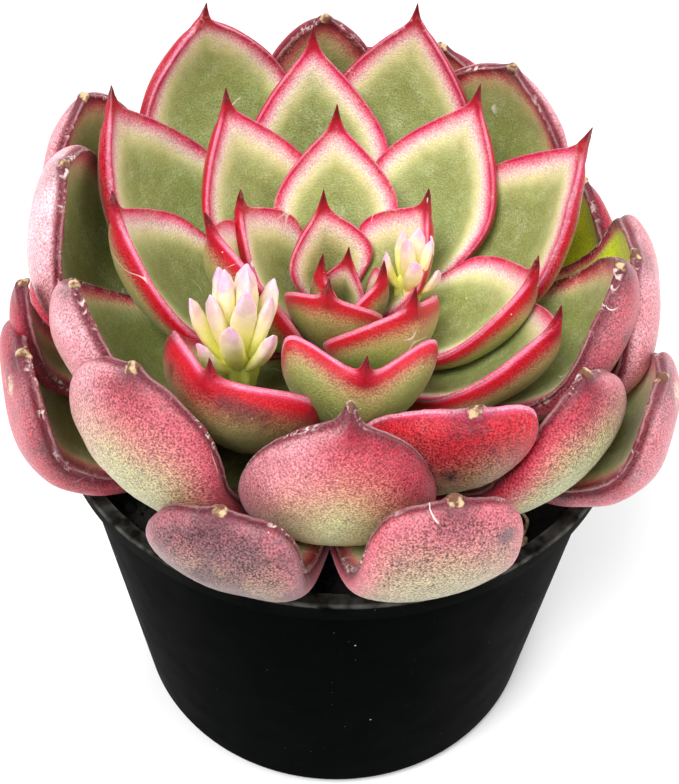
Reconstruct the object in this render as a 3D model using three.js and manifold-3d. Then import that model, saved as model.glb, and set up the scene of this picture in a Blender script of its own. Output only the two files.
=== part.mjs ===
// Potted firefly echeveria: a rosette of thick pointed leaves in a black
// nursery pot. Millimetres, +Z up, origin at the centre of the pot's foot,
// the rosette's front towards -Y.

import * as THREE from "three";
import { mergeVertices } from "three/addons/utils/BufferGeometryUtils.js";
import Module from "manifold-3d";

const wasm = await Module();
wasm.setup();

// Pot: a thin tapered wall under a solid rim band with a flat ledge
const POT_HEIGHT = 66;
const RIM_RADIUS = 45;
const RIM_LEDGE = 2.2;
const RIM_BAND = 4.1;
const BAND_TAPER = 0.5;
const WALL_TOP_RADIUS = 42.8;
const FOOT_RADIUS = 36.6;
const FOOT_ROUNDING = 3.4;
const POT_WALL = 1.1;
const POT_FLOOR = 1.4;
const POT_SIDES = 48;
const CORNER_STEPS = 3;
const DRAIN_HOLES = 6;
const DRAIN_RADIUS = 4;
const DRAIN_CIRCLE = 22;
const DRAIN_SIDES = 12;

// Gap between pieces that touch
const SEAT_GAP = 0.3;

// Soil: level near the wall, mounded in the middle
const SOIL_DROP = 4.5;
const SOIL_MOUND = 1;
const SOIL_SHOULDER = { radius: 0.75, rise: 0.6 };

// Stem, with its heights from the rim
const STEM_RADIUS = 4.2;
const STEM_TIP_RADIUS = 1.2;
const STEM_ROOT = 14;
const STEM_TOP = 15;
const STEM_SHOULDER = 10;
const STEM_SIDES = 12;
const STEM_TAPER_STEPS = 4;

// Rosette: its place over the rim and its lean, in radians
const ROSETTE_SHIFT = [-1, 0];
const LEAN_FRONT = 0.146;
const LEAN_RIGHT = 0.045;

// Leaves: number 1 is the youngest, at the heart
const LEAF_COUNT = 44;
const OLDEST_GREEN = 18;
const SHED_LEAVES = [42];
const FIRST_AZIMUTH = 285.2;
const GOLDEN_TURN = 137.57;
const THICKEST_LEAF = 5;
const FULL_WIDTH = 16;
const BASE_WIDTH = 0.24;
const BASE_DEPTH = 0.45;

// What changes with age: the height where the leaf leaves the stem, the
// reach and rise of its midrib's bends as shares of the whole, the roundness
// of its back and its bulge past the edge, its edge in mm, its hollow face,
// and its outline
const YOUNGEST = {
  base: STEM_TOP, footReach: 0.5, footRise: 0.28, bellyRise: 0.6,
  keel: 1.5, plump: 1, flank: 0.06, edge: 0.7, cup: 0.42, widest: 0.55, shoulder: 1.2,
};
const OLDEST = {
  base: 1, footReach: 0.9, footRise: 0.06, bellyRise: 0.25,
  keel: 2.4, plump: 0.55, flank: 0.28, edge: 1.3, cup: 0.12, widest: 0.66, shoulder: 0.75,
};

// The outline's end and how the blade thins to it: pointed up to one leaf,
// blunt from another
const POINTED = { leaf: 20, power: 1.7, round: 1, thinning: 3 };
const BLUNT = { leaf: 34, power: 3.2, round: 0.52, thinning: 6, widest: 0.7 };

// Shares of the blade's length between which it thickens, hollows and rolls,
// and between which its lobes come forward
const THICKENS = [0, 0.4];
const HOLLOWS = [-0.1, 0.5];
const ROLLS = [0.2, 1];
const LOBES = [0.3, 0.8];

// Tips: a sharp spine on young leaves, a thick dried one, and the blunt dry
// stub of the old ones
const FIRST_WITHERED = 21;
const KEPT_SPINES = [22, 25];
const DRY_SPINES = [26];
const SPINE = { length: 4.4, root: 1, point: 0.3 };
const DRY_SPINE = { length: 4.2, root: 1.6, point: 0.4 };
const STUB = { length: 1.6, root: 1.2, point: 0.7 };
const TIP_EDGE = 0.6;

// Rings along the blade and the tip, and points across the face and the back
const BLADE_STATIONS = [0, 0.22, 0.42, 0.6, 0.76, 0.88, 0.965];
const TIP_STATION = 0.4;
const FACE_STEPS = [-1, 0, 1];
const BACK_STEPS = [1, 0.6, 0, -0.6, -1];

// Radius and height of the leaf tips, how far the leaf bulges past its tip,
// and its width, from the heart outwards
const LEAF_PATH = [
  { leaf: 0, radius: -1.5, height: 26, bulge: 0, width: 3 },
  { leaf: 4, radius: 8.3, height: 32, bulge: 0, width: 11 },
  { leaf: 9, radius: 20, height: 38, bulge: 0, width: 16.5 },
  { leaf: 15, radius: 31.4, height: 41, bulge: -1, width: 19.5 },
  { leaf: 20, radius: 35.8, height: 42, bulge: 0, width: 22 },
  { leaf: 24, radius: 38.2, height: 41, bulge: 6, width: 25 },
  { leaf: 30, radius: 39.8, height: 38, bulge: 8, width: 27 },
  { leaf: 38, radius: 46, height: 31.5, bulge: 4, width: 21 },
  { leaf: 46, radius: 48.7, height: 27, bulge: 2, width: 21 },
];

// Leaves that grew off the even spiral: turn and roll in degrees; reach, lift,
// bulge and sag in mm; cup and blunt added to its own; width as a share of the
// even one; how far in mm both lobes come past the midrib, how far one comes
// past the other, and how far the tip bends sideways
const EVEN = {
  turn: 0, reach: 0, lift: 0, cup: 0, roll: 0, sag: 0, width: 1,
  bulge: 0, blunt: 0, lobe: 0, skew: 0, bend: 0,
};
const STRAYS = {
  1: { lift: 0.8 },
  2: { lift: -0.3 },
  3: { turn: -3, lift: -1 },
  4: { lift: 0.8 },
  5: { turn: 4, lift: 0.7 },
  6: { lift: 0.6 },
  7: { lift: 0.5 },
  8: { turn: -4, reach: -1, lift: 0.6 },
  9: { turn: 13 },
  10: { turn: -16, reach: -1.2, lift: 4.7, bulge: -5 },
  11: { turn: -15, reach: 2.5, lift: -1.5 },
  12: { turn: -1, lift: 1.7 },
  13: { turn: 1, reach: 1, lift: 0.6, cup: 0.35, width: 0.94, blunt: 0.75, lobe: 5.4, skew: -1 },
  14: { lift: 0.4 },
  15: { lift: 1.2 },
  16: { lift: -1.6 },
  17: { turn: -3, lift: 0.6 },
  18: { reach: 0.4, lift: -0.9, cup: 0.3, width: 0.93, blunt: 0.7, lobe: 1, skew: -0.4 },
  19: { lift: 2, bulge: -4.5 },
  20: { reach: 1, lift: 1.4 },
  21: { turn: -8, lift: -3.2, roll: -20, width: 0.82, blunt: 0.8, lobe: 2.6, skew: 2.6, bend: 5.6 },
  22: { turn: 4, lift: 3.4 },
  23: { reach: 1, lift: -0.8, width: 0.95, lobe: 0.8 },
  24: { turn: -5, reach: -2, width: 0.95, lobe: 1.5 },
  25: { turn: -1, reach: 1.7, lift: 3.6 },
  26: { turn: 7.3, reach: -1.5, lift: 3.4, sag: 7.4, width: 0.8, blunt: 0.15, bend: 0.8 },
  27: { turn: 12, reach: -1, lift: -0.6 },
  28: { reach: -1.3, lift: 1.4, bulge: 1.5, width: 0.95, lobe: 1 },
  29: { turn: 0.9, lift: -0.6, sag: 2.6, width: 0.83, blunt: -0.3, bend: 1.3 },
  30: { turn: 4, lift: 0.8, width: 0.72, blunt: -0.5 },
  31: { turn: 6.4, reach: -1.4, lift: 2, sag: 4, width: 0.82, skew: 0.5, bend: -4.2 },
  32: { turn: -12, reach: -2, lift: -1.6, lobe: 2 },
  33: { turn: 8, reach: 1, lift: 1.5, width: 0.85, blunt: -0.5 },
  34: {
    turn: 1.4, reach: 2, lift: -1, cup: -0.1, sag: 1, width: 0.74, lobe: 3, skew: -0.5, bend: 2.4,
  },
  35: { turn: 11, lift: -0.8, width: 0.8 },
  36: { reach: -0.5, lift: 0.4, width: 0.36 },
  37: { turn: -3.5, reach: 1, lift: -0.6, roll: 12, width: 0.81, lobe: 1.5 },
  38: { lift: -9 },
  39: { turn: 3.7, reach: -0.6, lift: -1.4, sag: -2, width: 0.86, lobe: 2, skew: 1.2, bend: -1.8 },
  40: { turn: 2.5, reach: -4.5, lift: -5.5 },
  41: { reach: -3, lift: -12 },
  44: {
    turn: -11, reach: -1.6, lift: 0.7, roll: -10, width: 0.84, bulge: -1.5, lobe: 2, skew: -1,
  },
};

// Bud heads: foot on the rosette's own axes, spread of the outer bracts in
// degrees, and radius of the thick stalk in the middle
const BUD_HEADS = [
  { name: "flower_buds_left", foot: [-14, -17, 23.5], length: 17, girth: 3.5, bracts: 13,
    spread: 27, turn: 20, stalk: 2.4 },
  { name: "flower_buds_right", foot: [9.8, 0.8, 20.5], length: 11, girth: 2.7, bracts: 8,
    spread: 22, turn: 80, stalk: 1.9 },
];
const BUD_STALK = { below: 0.3, above: 0.3, sides: 8 };

// Bracts from the first to the last: lean in degrees; how far out they start,
// as a share of the stalk; length and girth as shares of the head's; then the
// swell of each from foot to point
const FIRST_BRACT = { lean: 3, out: 0.1, length: 1.05, girth: 1.1 };
const LAST_BRACT = { out: 0.85, length: 0.66, girth: 0.85 };
const BRACT_SWELL = [[0, 0.55], [0.45, 0.95], [0.8, 0.85], [1, 0.25]];
const BRACT_SIDES = 6;

// Scrap of dried root on the soil: a knobbly flake and a thin curl
const ROOT_PLACE = [25, -30.5];
const ROOT_TURN = 20;
const ROOT_FLAKE = [2.6, 1.5, 0.9];
const ROOTLET_RADIUS = 0.4;
const ROOTLET_STEPS = 10;
const ROOTLET_SIDES = 6;
const ROOTLET_PATH = [[-0.5, 0, 0], [2.2, 0.6, 0.3], [4, 2.4, 1.2], [3, 4.4, 2], [1, 4.2, 1.6]];

const degrees = THREE.MathUtils.degToRad;
const { clamp, lerp, smoothstep } = THREE.MathUtils;

function finish(colour, roughness, metalness = 0) {
  return new THREE.MeshStandardMaterial({ color: colour, roughness, metalness });
}

const potPlastic = finish(0x0c0c0d, 0.45);
const soilMix = finish(0x17120e, 0.95);
const leafSkin = finish(0x8fa765, 0.5);
const outerSkin = finish(0xb05a5e, 0.5);
const stemSkin = finish(0x7d8a52, 0.6);
const budSkin = finish(0xdfe38a, 0.5);
const rootSkin = finish(0xb89c74, 0.8);

// A closed solid from rings of points: each ring joins the next, and a fan
// closes each end on its middle.
function solidFromRings(rings) {
  const sides = rings[0].length;
  const points = rings.flat();
  const middle = (ring) => ring
    .reduce((sum, point) => sum.add(point), new THREE.Vector3())
    .divideScalar(sides);
  points.push(middle(rings[0]), middle(rings[rings.length - 1]));
  const startPole = points.length - 2;
  const endPole = points.length - 1;
  const faces = [];
  for (let ring = 0; ring + 1 < rings.length; ring += 1) {
    for (let side = 0; side < sides; side += 1) {
      const next = (side + 1) % sides;
      const a = ring * sides + side;
      const b = ring * sides + next;
      faces.push(a, a + sides, b, b, a + sides, b + sides);
    }
  }
  const last = (rings.length - 1) * sides;
  for (let side = 0; side < sides; side += 1) {
    const next = (side + 1) % sides;
    faces.push(startPole, side, next);
    faces.push(endPole, last + next, last + side);
  }
  const geometry = new THREE.BufferGeometry().setFromPoints(points);
  geometry.setIndex(faces);
  return geometry;
}

// A solid for joining and cutting, with its shared points made one.
function toManifold(geometry) {
  const bare = geometry.clone();
  bare.deleteAttribute("normal");
  bare.deleteAttribute("uv");
  const merged = mergeVertices(bare, 1e-4);
  return new wasm.Manifold(new wasm.Mesh({
    numProp: 3,
    vertProperties: new Float32Array(merged.attributes.position.array),
    triVerts: new Uint32Array(merged.index.array),
  }));
}

function toGeometry(solid) {
  const mesh = solid.getMesh();
  const geometry = new THREE.BufferGeometry();
  geometry.setAttribute("position", new THREE.BufferAttribute(mesh.vertProperties, 3));
  geometry.setIndex(new THREE.BufferAttribute(mesh.triVerts, 1));
  return geometry;
}

function namedMesh(name, geometry, material) {
  const mesh = new THREE.Mesh(geometry, material);
  mesh.name = name;
  return mesh;
}

// A solid turned from a half profile of [radius, height] points.
function turned(profile, sides) {
  const points = profile.map(([radius, height]) => new THREE.Vector2(radius, height));
  return new THREE.LatheGeometry(points, sides).rotateX(Math.PI / 2);
}

// The largest single body of a solid: what a cut leaves loose is dropped.
function largestBody(solid) {
  return solid.decompose().reduce((best, body) => (body.volume() > best.volume() ? body : best));
}

// Inner radius of the pot's wall at a height, below the rim band.
function innerRadius(height) {
  const share = (height - FOOT_ROUNDING) / (POT_HEIGHT - RIM_BAND - FOOT_ROUNDING);
  return lerp(FOOT_RADIUS, WALL_TOP_RADIUS, share) - POT_WALL;
}

function makePot() {
  const bandFoot = POT_HEIGHT - RIM_BAND;
  const flatFoot = FOOT_RADIUS - FOOT_ROUNDING;
  const corner = Array.from({ length: CORNER_STEPS + 1 }, (_, step) => {
    const turn = Math.PI / 2 * step / CORNER_STEPS;
    return [
      flatFoot + FOOT_ROUNDING * Math.sin(turn),
      FOOT_ROUNDING * (1 - Math.cos(turn)),
    ];
  });
  let pot = toManifold(turned([
    [0, 0],
    ...corner,
    [WALL_TOP_RADIUS, bandFoot],
    [RIM_RADIUS - BAND_TAPER, bandFoot],
    [RIM_RADIUS, POT_HEIGHT],
    [RIM_RADIUS - RIM_LEDGE, POT_HEIGHT],
    [innerRadius(bandFoot), bandFoot - POT_WALL],
    [innerRadius(FOOT_ROUNDING), FOOT_ROUNDING],
    [flatFoot, POT_FLOOR],
    [0, POT_FLOOR],
  ], POT_SIDES));
  const hole = new THREE.CylinderGeometry(DRAIN_RADIUS, DRAIN_RADIUS, POT_FLOOR * 3, DRAIN_SIDES)
    .rotateX(Math.PI / 2)
    .translate(DRAIN_CIRCLE, 0, 0);
  for (let index = 0; index < DRAIN_HOLES; index += 1) {
    pot = pot.subtract(toManifold(hole));
    hole.rotateZ(2 * Math.PI / DRAIN_HOLES);
  }
  return toGeometry(pot);
}

// The stem is straight up to its shoulder and then narrows to the top.
function stemRadius(height) {
  return lerp(STEM_TIP_RADIUS, STEM_RADIUS, smoothstep(-height, -STEM_TOP, -STEM_SHOULDER));
}

// The stem, upright on the rosette's own axis, grown by a clearance.
function stemGeometry(grow = 0) {
  const taper = Array.from({ length: STEM_TAPER_STEPS + 1 }, (_, step) => {
    const height = lerp(STEM_SHOULDER, STEM_TOP, step / STEM_TAPER_STEPS);
    return [stemRadius(height) + grow, height];
  });
  return turned([
    [0, -STEM_ROOT - grow],
    [STEM_RADIUS + grow, -STEM_ROOT - grow],
    ...taper,
    [0, STEM_TOP + STEM_TIP_RADIUS / 2 + grow],
  ], STEM_SIDES);
}

// Soil: fills the pot to below the rim, with a plain hole for the stem.
function makeSoil(leaning) {
  const top = POT_HEIGHT - SOIL_DROP;
  const level = top - SOIL_MOUND;
  const floor = POT_FLOOR + SEAT_GAP;
  const edge = innerRadius(level) - SEAT_GAP;
  const mass = toManifold(turned([
    [0, floor],
    [FOOT_RADIUS - FOOT_ROUNDING - POT_WALL, floor],
    [innerRadius(FOOT_ROUNDING) - SEAT_GAP, FOOT_ROUNDING + SEAT_GAP],
    [edge, level],
    [edge * SOIL_SHOULDER.radius, level + SOIL_MOUND * SOIL_SHOULDER.rise],
    [0, top],
  ], POT_SIDES));
  const hole = toManifold(stemGeometry(SEAT_GAP).applyMatrix4(leaning));
  return toGeometry(mass.subtract(hole));
}

// Sizes of a leaf by its number, read between the stated leaves.
function alongPath(leaf) {
  const above = LEAF_PATH.findIndex((stop) => stop.leaf >= leaf);
  const low = LEAF_PATH[above - 1];
  const high = LEAF_PATH[above];
  const share = (leaf - low.leaf) / (high.leaf - low.leaf);
  const between = (size) => lerp(low[size], high[size], share);
  return {
    radius: between("radius"),
    height: between("height"),
    bulge: between("bulge"),
    width: between("width"),
  };
}

// Every size of one leaf, worked out from its number.
function leafPlan(leaf) {
  const age = leaf / LEAF_COUNT;
  const aged = (size) => lerp(YOUNGEST[size], OLDEST[size], age);
  const stray = { ...EVEN, ...STRAYS[leaf] };
  const size = alongPath(leaf);
  const width = size.width * stray.width;
  const radius = size.radius + stray.reach;
  const height = size.height + stray.lift;
  const base = aged("base");
  const baseRadius = stemRadius(base) + SEAT_GAP;
  const rise = height - base;
  const midrib = new THREE.CubicBezierCurve(
    new THREE.Vector2(baseRadius, base),
    new THREE.Vector2(
      lerp(baseRadius, radius, aged("footReach")),
      base + rise * aged("footRise") - stray.sag,
    ),
    new THREE.Vector2(
      radius + size.bulge + stray.bulge,
      base + rise * aged("bellyRise") - stray.sag,
    ),
    new THREE.Vector2(radius, height),
  );
  const blunt = clamp(smoothstep(leaf, POINTED.leaf, BLUNT.leaf) + stray.blunt, 0, 1);
  const towardsBlunt = (size) => lerp(POINTED[size], BLUNT[size], blunt);
  return {
    azimuth: degrees(FIRST_AZIMUTH + GOLDEN_TURN * leaf + stray.turn),
    midrib,
    length: midrib.getLength(),
    halfWidth: width / 2,
    depth: THICKEST_LEAF * Math.min(1, width / FULL_WIDTH),
    keel: aged("keel"),
    plump: aged("plump"),
    flank: aged("flank"),
    edge: aged("edge"),
    cup: aged("cup") + stray.cup,
    roll: degrees(stray.roll),
    lobe: stray.lobe,
    skew: stray.skew,
    bend: stray.bend,
    widest: lerp(aged("widest"), BLUNT.widest, blunt),
    shoulder: aged("shoulder"),
    endPower: towardsBlunt("power"),
    endRound: towardsBlunt("round"),
    thinning: towardsBlunt("thinning"),
    tip: leafTip(leaf),
  };
}

function leafTip(leaf) {
  if (DRY_SPINES.includes(leaf)) {
    return DRY_SPINE;
  }
  return leaf >= FIRST_WITHERED && !KEPT_SPINES.includes(leaf) ? STUB : SPINE;
}

// Half width of the blade at a share of its length: a narrow base, a round
// shoulder at the widest place and an ogive to the tip.
function bladeOutline(share, plan) {
  if (share >= 1) {
    return 0;
  }
  if (share < plan.widest) {
    return lerp(BASE_WIDTH, 1, Math.sin(Math.PI / 2 * share / plan.widest) ** plan.shoulder);
  }
  const way = (share - plan.widest) / (1 - plan.widest);
  return (1 - way ** plan.endPower) ** plan.endRound;
}

// One ring of points round the leaf, square to its midrib.
function leafRing(plan, distance, grow) {
  const bladeLength = plan.length - plan.tip.length;
  const share = distance / bladeLength;
  const place = plan.midrib.getPointAt(distance / plan.length);
  const along = plan.midrib.getTangentAt(distance / plan.length);
  const toTip = Math.min(1, (plan.length - distance) / plan.tip.length);
  const spine = lerp(plan.tip.point, plan.tip.root, toTip) + grow;
  const half = plan.halfWidth * bladeOutline(share, plan) + spine;
  const body = Math.sqrt(Math.max(0, 1 - share ** plan.thinning));
  const swell = lerp(BASE_DEPTH, 1, smoothstep(share, ...THICKENS));
  const thick = Math.max(spine, plan.depth * body * swell + grow);
  const cup = plan.cup * (half - spine) * smoothstep(share, ...HOLLOWS);
  const edge = share < 1 ? plan.edge / 2 + grow : spine * TIP_EDGE;
  const forward = smoothstep(share, ...LOBES);
  const outward = new THREE.Vector3(Math.cos(plan.azimuth), Math.sin(plan.azimuth), 0);
  const level = new THREE.Vector3(-outward.y, outward.x, 0);
  const ahead = outward.clone().multiplyScalar(along.x).setZ(along.y);
  const sideways = level.clone().applyAxisAngle(ahead, plan.roll * smoothstep(share, ...ROLLS));
  const inward = new THREE.Vector3().crossVectors(ahead, sideways);
  const centre = outward.clone().multiplyScalar(place.x).setZ(place.y)
    .addScaledVector(level, plan.bend * (distance / plan.length) ** 2);
  const at = (reach, lift) => {
    const over = reach / plan.halfWidth;
    return centre.clone()
      .addScaledVector(sideways, reach)
      .addScaledVector(inward, lift)
      .addScaledVector(ahead, (plan.lobe * over * over + plan.skew * over) * forward);
  };
  const face = FACE_STEPS.map((side) => at(side * half, cup * side * side + edge));
  const back = BACK_STEPS.map((side) => {
    const flank = 1 + 2 * plan.flank * Math.sqrt(1 - side * side);
    const round = (1 - Math.abs(side) ** plan.keel) ** plan.plump;
    return at(side * half * flank, cup * side * side - edge - thick * round);
  });
  return [...face, ...back];
}

function leafGeometry(plan, grow = 0) {
  const bladeLength = plan.length - plan.tip.length;
  const stations = BLADE_STATIONS.map((share) => share * bladeLength);
  stations.push(bladeLength + plan.tip.length * TIP_STATION, plan.length);
  return solidFromRings(stations.map((distance) => leafRing(plan, distance, grow)));
}

const leafName = (leaf) => `leaf_${String(leaf).padStart(2, "0")}`;

// A fleshy bud bract: a pointed drop from its foot along a direction.
function bract(foot, direction, length, width) {
  const turn = new THREE.Quaternion().setFromUnitVectors(new THREE.Vector3(0, 0, 1), direction);
  const rings = BRACT_SWELL.map(([along, girth]) => (
    Array.from({ length: BRACT_SIDES }, (_, side) => {
      const angle = -2 * Math.PI * side / BRACT_SIDES;
      return new THREE.Vector3(
        Math.cos(angle) * width / 2 * girth,
        Math.sin(angle) * width / 2 * girth,
        along * length,
      ).applyQuaternion(turn).add(foot);
    })
  ));
  return toManifold(solidFromRings(rings));
}

// A bud head: bracts in a golden-angle spiral that all rise from a thick stalk,
// the first tall and upright, the later ones further out, shorter and leaning.
function makeBuds(head) {
  const foot = new THREE.Vector3(...head.foot);
  const height = head.length * (BUD_STALK.below + BUD_STALK.above);
  const middle = foot.z + head.length * (BUD_STALK.above - BUD_STALK.below) / 2;
  const stalk = new THREE.CylinderGeometry(head.stalk, head.stalk, height, BUD_STALK.sides)
    .rotateX(Math.PI / 2)
    .translate(foot.x, foot.y, middle);
  let buds = toManifold(stalk);
  for (let index = 0; index < head.bracts; index += 1) {
    const share = index / (head.bracts - 1);
    const between = (size) => lerp(FIRST_BRACT[size], LAST_BRACT[size], share);
    const lean = degrees(lerp(FIRST_BRACT.lean, head.spread, share));
    const around = degrees(head.turn + GOLDEN_TURN * index);
    const outward = new THREE.Vector3(Math.cos(around), Math.sin(around), 0);
    const direction = outward.clone().multiplyScalar(Math.sin(lean)).setZ(Math.cos(lean));
    const start = foot.clone().addScaledVector(outward, head.stalk * between("out"));
    const width = head.girth * between("girth");
    buds = buds.add(bract(start, direction, head.length * between("length"), width));
  }
  return buds;
}

function makeDryRoot() {
  const flake = new THREE.IcosahedronGeometry(1, 1).scale(...ROOT_FLAKE);
  const curl = new THREE.CatmullRomCurve3(
    ROOTLET_PATH.map((point) => new THREE.Vector3(...point)),
  );
  const section = new THREE.Shape().absarc(0, 0, ROOTLET_RADIUS, 0, 2 * Math.PI);
  const rootlet = new THREE.ExtrudeGeometry(section, {
    steps: ROOTLET_STEPS,
    curveSegments: ROOTLET_SIDES / 2,
    extrudePath: curl,
  });
  return toGeometry(toManifold(flake).add(toManifold(rootlet)));
}

// The whole object
const echeveria = new THREE.Group();
const rosette = new THREE.Group();
rosette.position.set(ROSETTE_SHIFT[0], ROSETTE_SHIFT[1], POT_HEIGHT);
rosette.rotation.set(LEAN_FRONT, LEAN_RIGHT, 0);
rosette.updateMatrix();

echeveria.add(namedMesh("pot", makePot(), potPlastic));
echeveria.add(namedMesh("soil", makeSoil(rosette.matrix), soilMix));
echeveria.add(rosette);
rosette.add(namedMesh("stem", stemGeometry(), stemSkin));

const dryRoot = namedMesh("dry_root", makeDryRoot(), rootSkin);
dryRoot.position.set(ROOT_PLACE[0], ROOT_PLACE[1], POT_HEIGHT - SOIL_DROP + SEAT_GAP);
dryRoot.rotation.z = degrees(ROOT_TURN);
echeveria.add(dryRoot);

// Each leaf gives way to the stem and to the younger leaves in its face, and
// the bud heads to them all
const placed = [toManifold(stemGeometry(SEAT_GAP))];
const giveWay = (solid) => largestBody(placed.reduce((rest, other) => rest.subtract(other), solid));
for (let leaf = 1; leaf <= LEAF_COUNT; leaf += 1) {
  if (!SHED_LEAVES.includes(leaf)) {
    const plan = leafPlan(leaf);
    const blade = giveWay(toManifold(leafGeometry(plan)));
    const skin = leaf > OLDEST_GREEN ? outerSkin : leafSkin;
    placed.push(toManifold(leafGeometry(plan, SEAT_GAP)));
    rosette.add(namedMesh(leafName(leaf), toGeometry(blade), skin));
  }
}

for (const head of BUD_HEADS) {
  rosette.add(namedMesh(head.name, toGeometry(giveWay(makeBuds(head))), budSkin));
}

export default echeveria;
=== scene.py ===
"""Looks of the potted firefly echeveria.

A rosette of thick pointed leaves, two heads of pale buds and dark soil in a
black nursery pot. Sizes in the classes are millimetres, colours are as seen on
a screen from 0 to 255, and the meshes are in metres on the frame's own axes.
"""

import functools
import logging
import math
from dataclasses import dataclass, field
from enum import Enum

import bpy
import numpy as np
from mathutils import Matrix, Vector


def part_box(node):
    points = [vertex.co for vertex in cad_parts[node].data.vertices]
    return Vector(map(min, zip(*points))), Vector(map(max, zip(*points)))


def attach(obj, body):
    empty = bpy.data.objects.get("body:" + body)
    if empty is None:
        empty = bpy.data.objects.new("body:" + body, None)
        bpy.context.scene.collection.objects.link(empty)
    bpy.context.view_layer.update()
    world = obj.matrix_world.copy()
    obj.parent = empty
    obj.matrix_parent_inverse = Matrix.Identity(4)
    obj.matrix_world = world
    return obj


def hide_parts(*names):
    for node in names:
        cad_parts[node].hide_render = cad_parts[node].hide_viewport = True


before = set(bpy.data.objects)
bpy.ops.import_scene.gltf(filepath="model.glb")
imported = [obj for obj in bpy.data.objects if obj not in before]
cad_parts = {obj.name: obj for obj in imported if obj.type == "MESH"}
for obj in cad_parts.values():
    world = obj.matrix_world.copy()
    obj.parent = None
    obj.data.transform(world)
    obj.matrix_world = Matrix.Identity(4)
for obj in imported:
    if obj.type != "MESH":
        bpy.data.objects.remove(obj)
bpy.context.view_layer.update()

LOG = logging.getLogger("echeveria")
MM = 0.001
BODY = "root"
IMAGE_WIDTH = 679
IMAGE_HEIGHT = 784
GOLDEN_TURN = 137.57

Array = np.ndarray
Colour = tuple[float, float, float, float]
Stops = tuple[tuple[float, Colour], ...]
Socket = bpy.types.NodeSocket


def tint(red: int, green: int, blue: int) -> Colour:
    """A screen colour, 0 to 255 a channel, as the linear light it stands for."""
    channels = np.array([red, green, blue]) / 255
    linear = np.where(channels <= 0.04045, channels / 12.92, ((channels + 0.055) / 1.055) ** 2.4)
    return (*linear.tolist(), 1.0)


def lerp(low: Array | float, high: Array | float, share: Array | float) -> Array | float:
    """The value at a share of the way from low to high."""
    return low + (high - low) * share


def smoothstep(value: Array | float, low: float, high: float) -> Array | float:
    """0 below low, 1 above high, and 3t^2 - 2t^3 between, with t the share of the way."""
    share = np.clip((value - low) / (high - low), 0, 1)
    return share * share * (3 - 2 * share)


def unit(vectors: Array) -> Array:
    """Vectors of length 1 in the same directions."""
    return vectors / np.linalg.norm(vectors, axis=-1, keepdims=True)


def once_round(count: int) -> Array:
    """Even angles once round, in radians."""
    return np.linspace(0, 2 * math.pi, count, endpoint=False)


def circled(radius: Array, turn: Array, height: Array | float) -> Array:
    """Points at a radius and a turn about Z, and at a height."""
    return np.stack(np.broadcast_arrays(radius * np.cos(turn), radius * np.sin(turn), height), -1)


def ball_rings(cap: float, rows: int, columns: int) -> Array:
    """Rings round a ball of radius 1, open by an angle at its top and its bottom."""
    tilt = np.linspace(cap, math.pi - cap, rows)[:, None]
    return circled(np.sin(tilt), once_round(columns), np.cos(tilt))


def run_of(line: Array) -> Array:
    """Distance along a line of points from its first point to each."""
    return np.concatenate([[0], np.cumsum(np.linalg.norm(np.diff(line, axis=0), axis=1))])


def read_at(places: Array, run: Array, line: Array) -> Array:
    """Points of a line, read between its own at some places of its run."""
    return np.stack([np.interp(places, run, values) for values in line.T], -1)


def ripple(points: Array, size: float, seed: int) -> Array:
    """A smooth random field, about -1 to 1, with bumps of a size in mm.

    The field is a sum of twelve plane waves with random directions and phases.

    Args:
        points: Places in mm, with x, y and z last.
        size: Rough distance from one bump to the next, in mm.
        seed: Seed of the random waves.

    Returns:
        One value for each point.
    """
    waves = 12
    rng = np.random.default_rng(seed)
    directions = rng.normal(size=(3, waves))
    directions /= np.linalg.norm(directions, axis=0)
    lengths = size * rng.uniform(0.6, 1.6, waves)
    phases = rng.uniform(0, 2 * math.pi, waves)
    return np.sin(points @ (directions * 2 * math.pi / lengths) + phases).sum(-1) / math.sqrt(waves)


@dataclass
class Surface:
    """A closed skin of points in mm, its faces, and named values at the points."""

    points: Array
    faces: list[list[int]]
    values: dict[str, Array] = field(default_factory=dict)

    def piece(self, name: str, material: bpy.types.Material) -> bpy.types.Object:
        """Puts the skin into a smooth mesh object at the origin.

        Args:
            name: Name of the object and its mesh.
            material: Finish of the whole skin.

        Returns:
            The object, linked to the scene.
        """
        mesh = bpy.data.meshes.new(name)
        mesh.from_pydata((self.points * MM).tolist(), [], self.faces)
        for key, value in self.values.items():
            layer = mesh.attributes.new(key, "FLOAT", "POINT")
            layer.data.foreach_set("value", value.astype(np.float32))
        mesh.polygons.foreach_set("use_smooth", np.ones(len(mesh.polygons), bool))
        mesh.materials.append(material)
        mesh.update()
        made = bpy.data.objects.new(name, mesh)
        bpy.context.scene.collection.objects.link(made)
        return made


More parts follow.
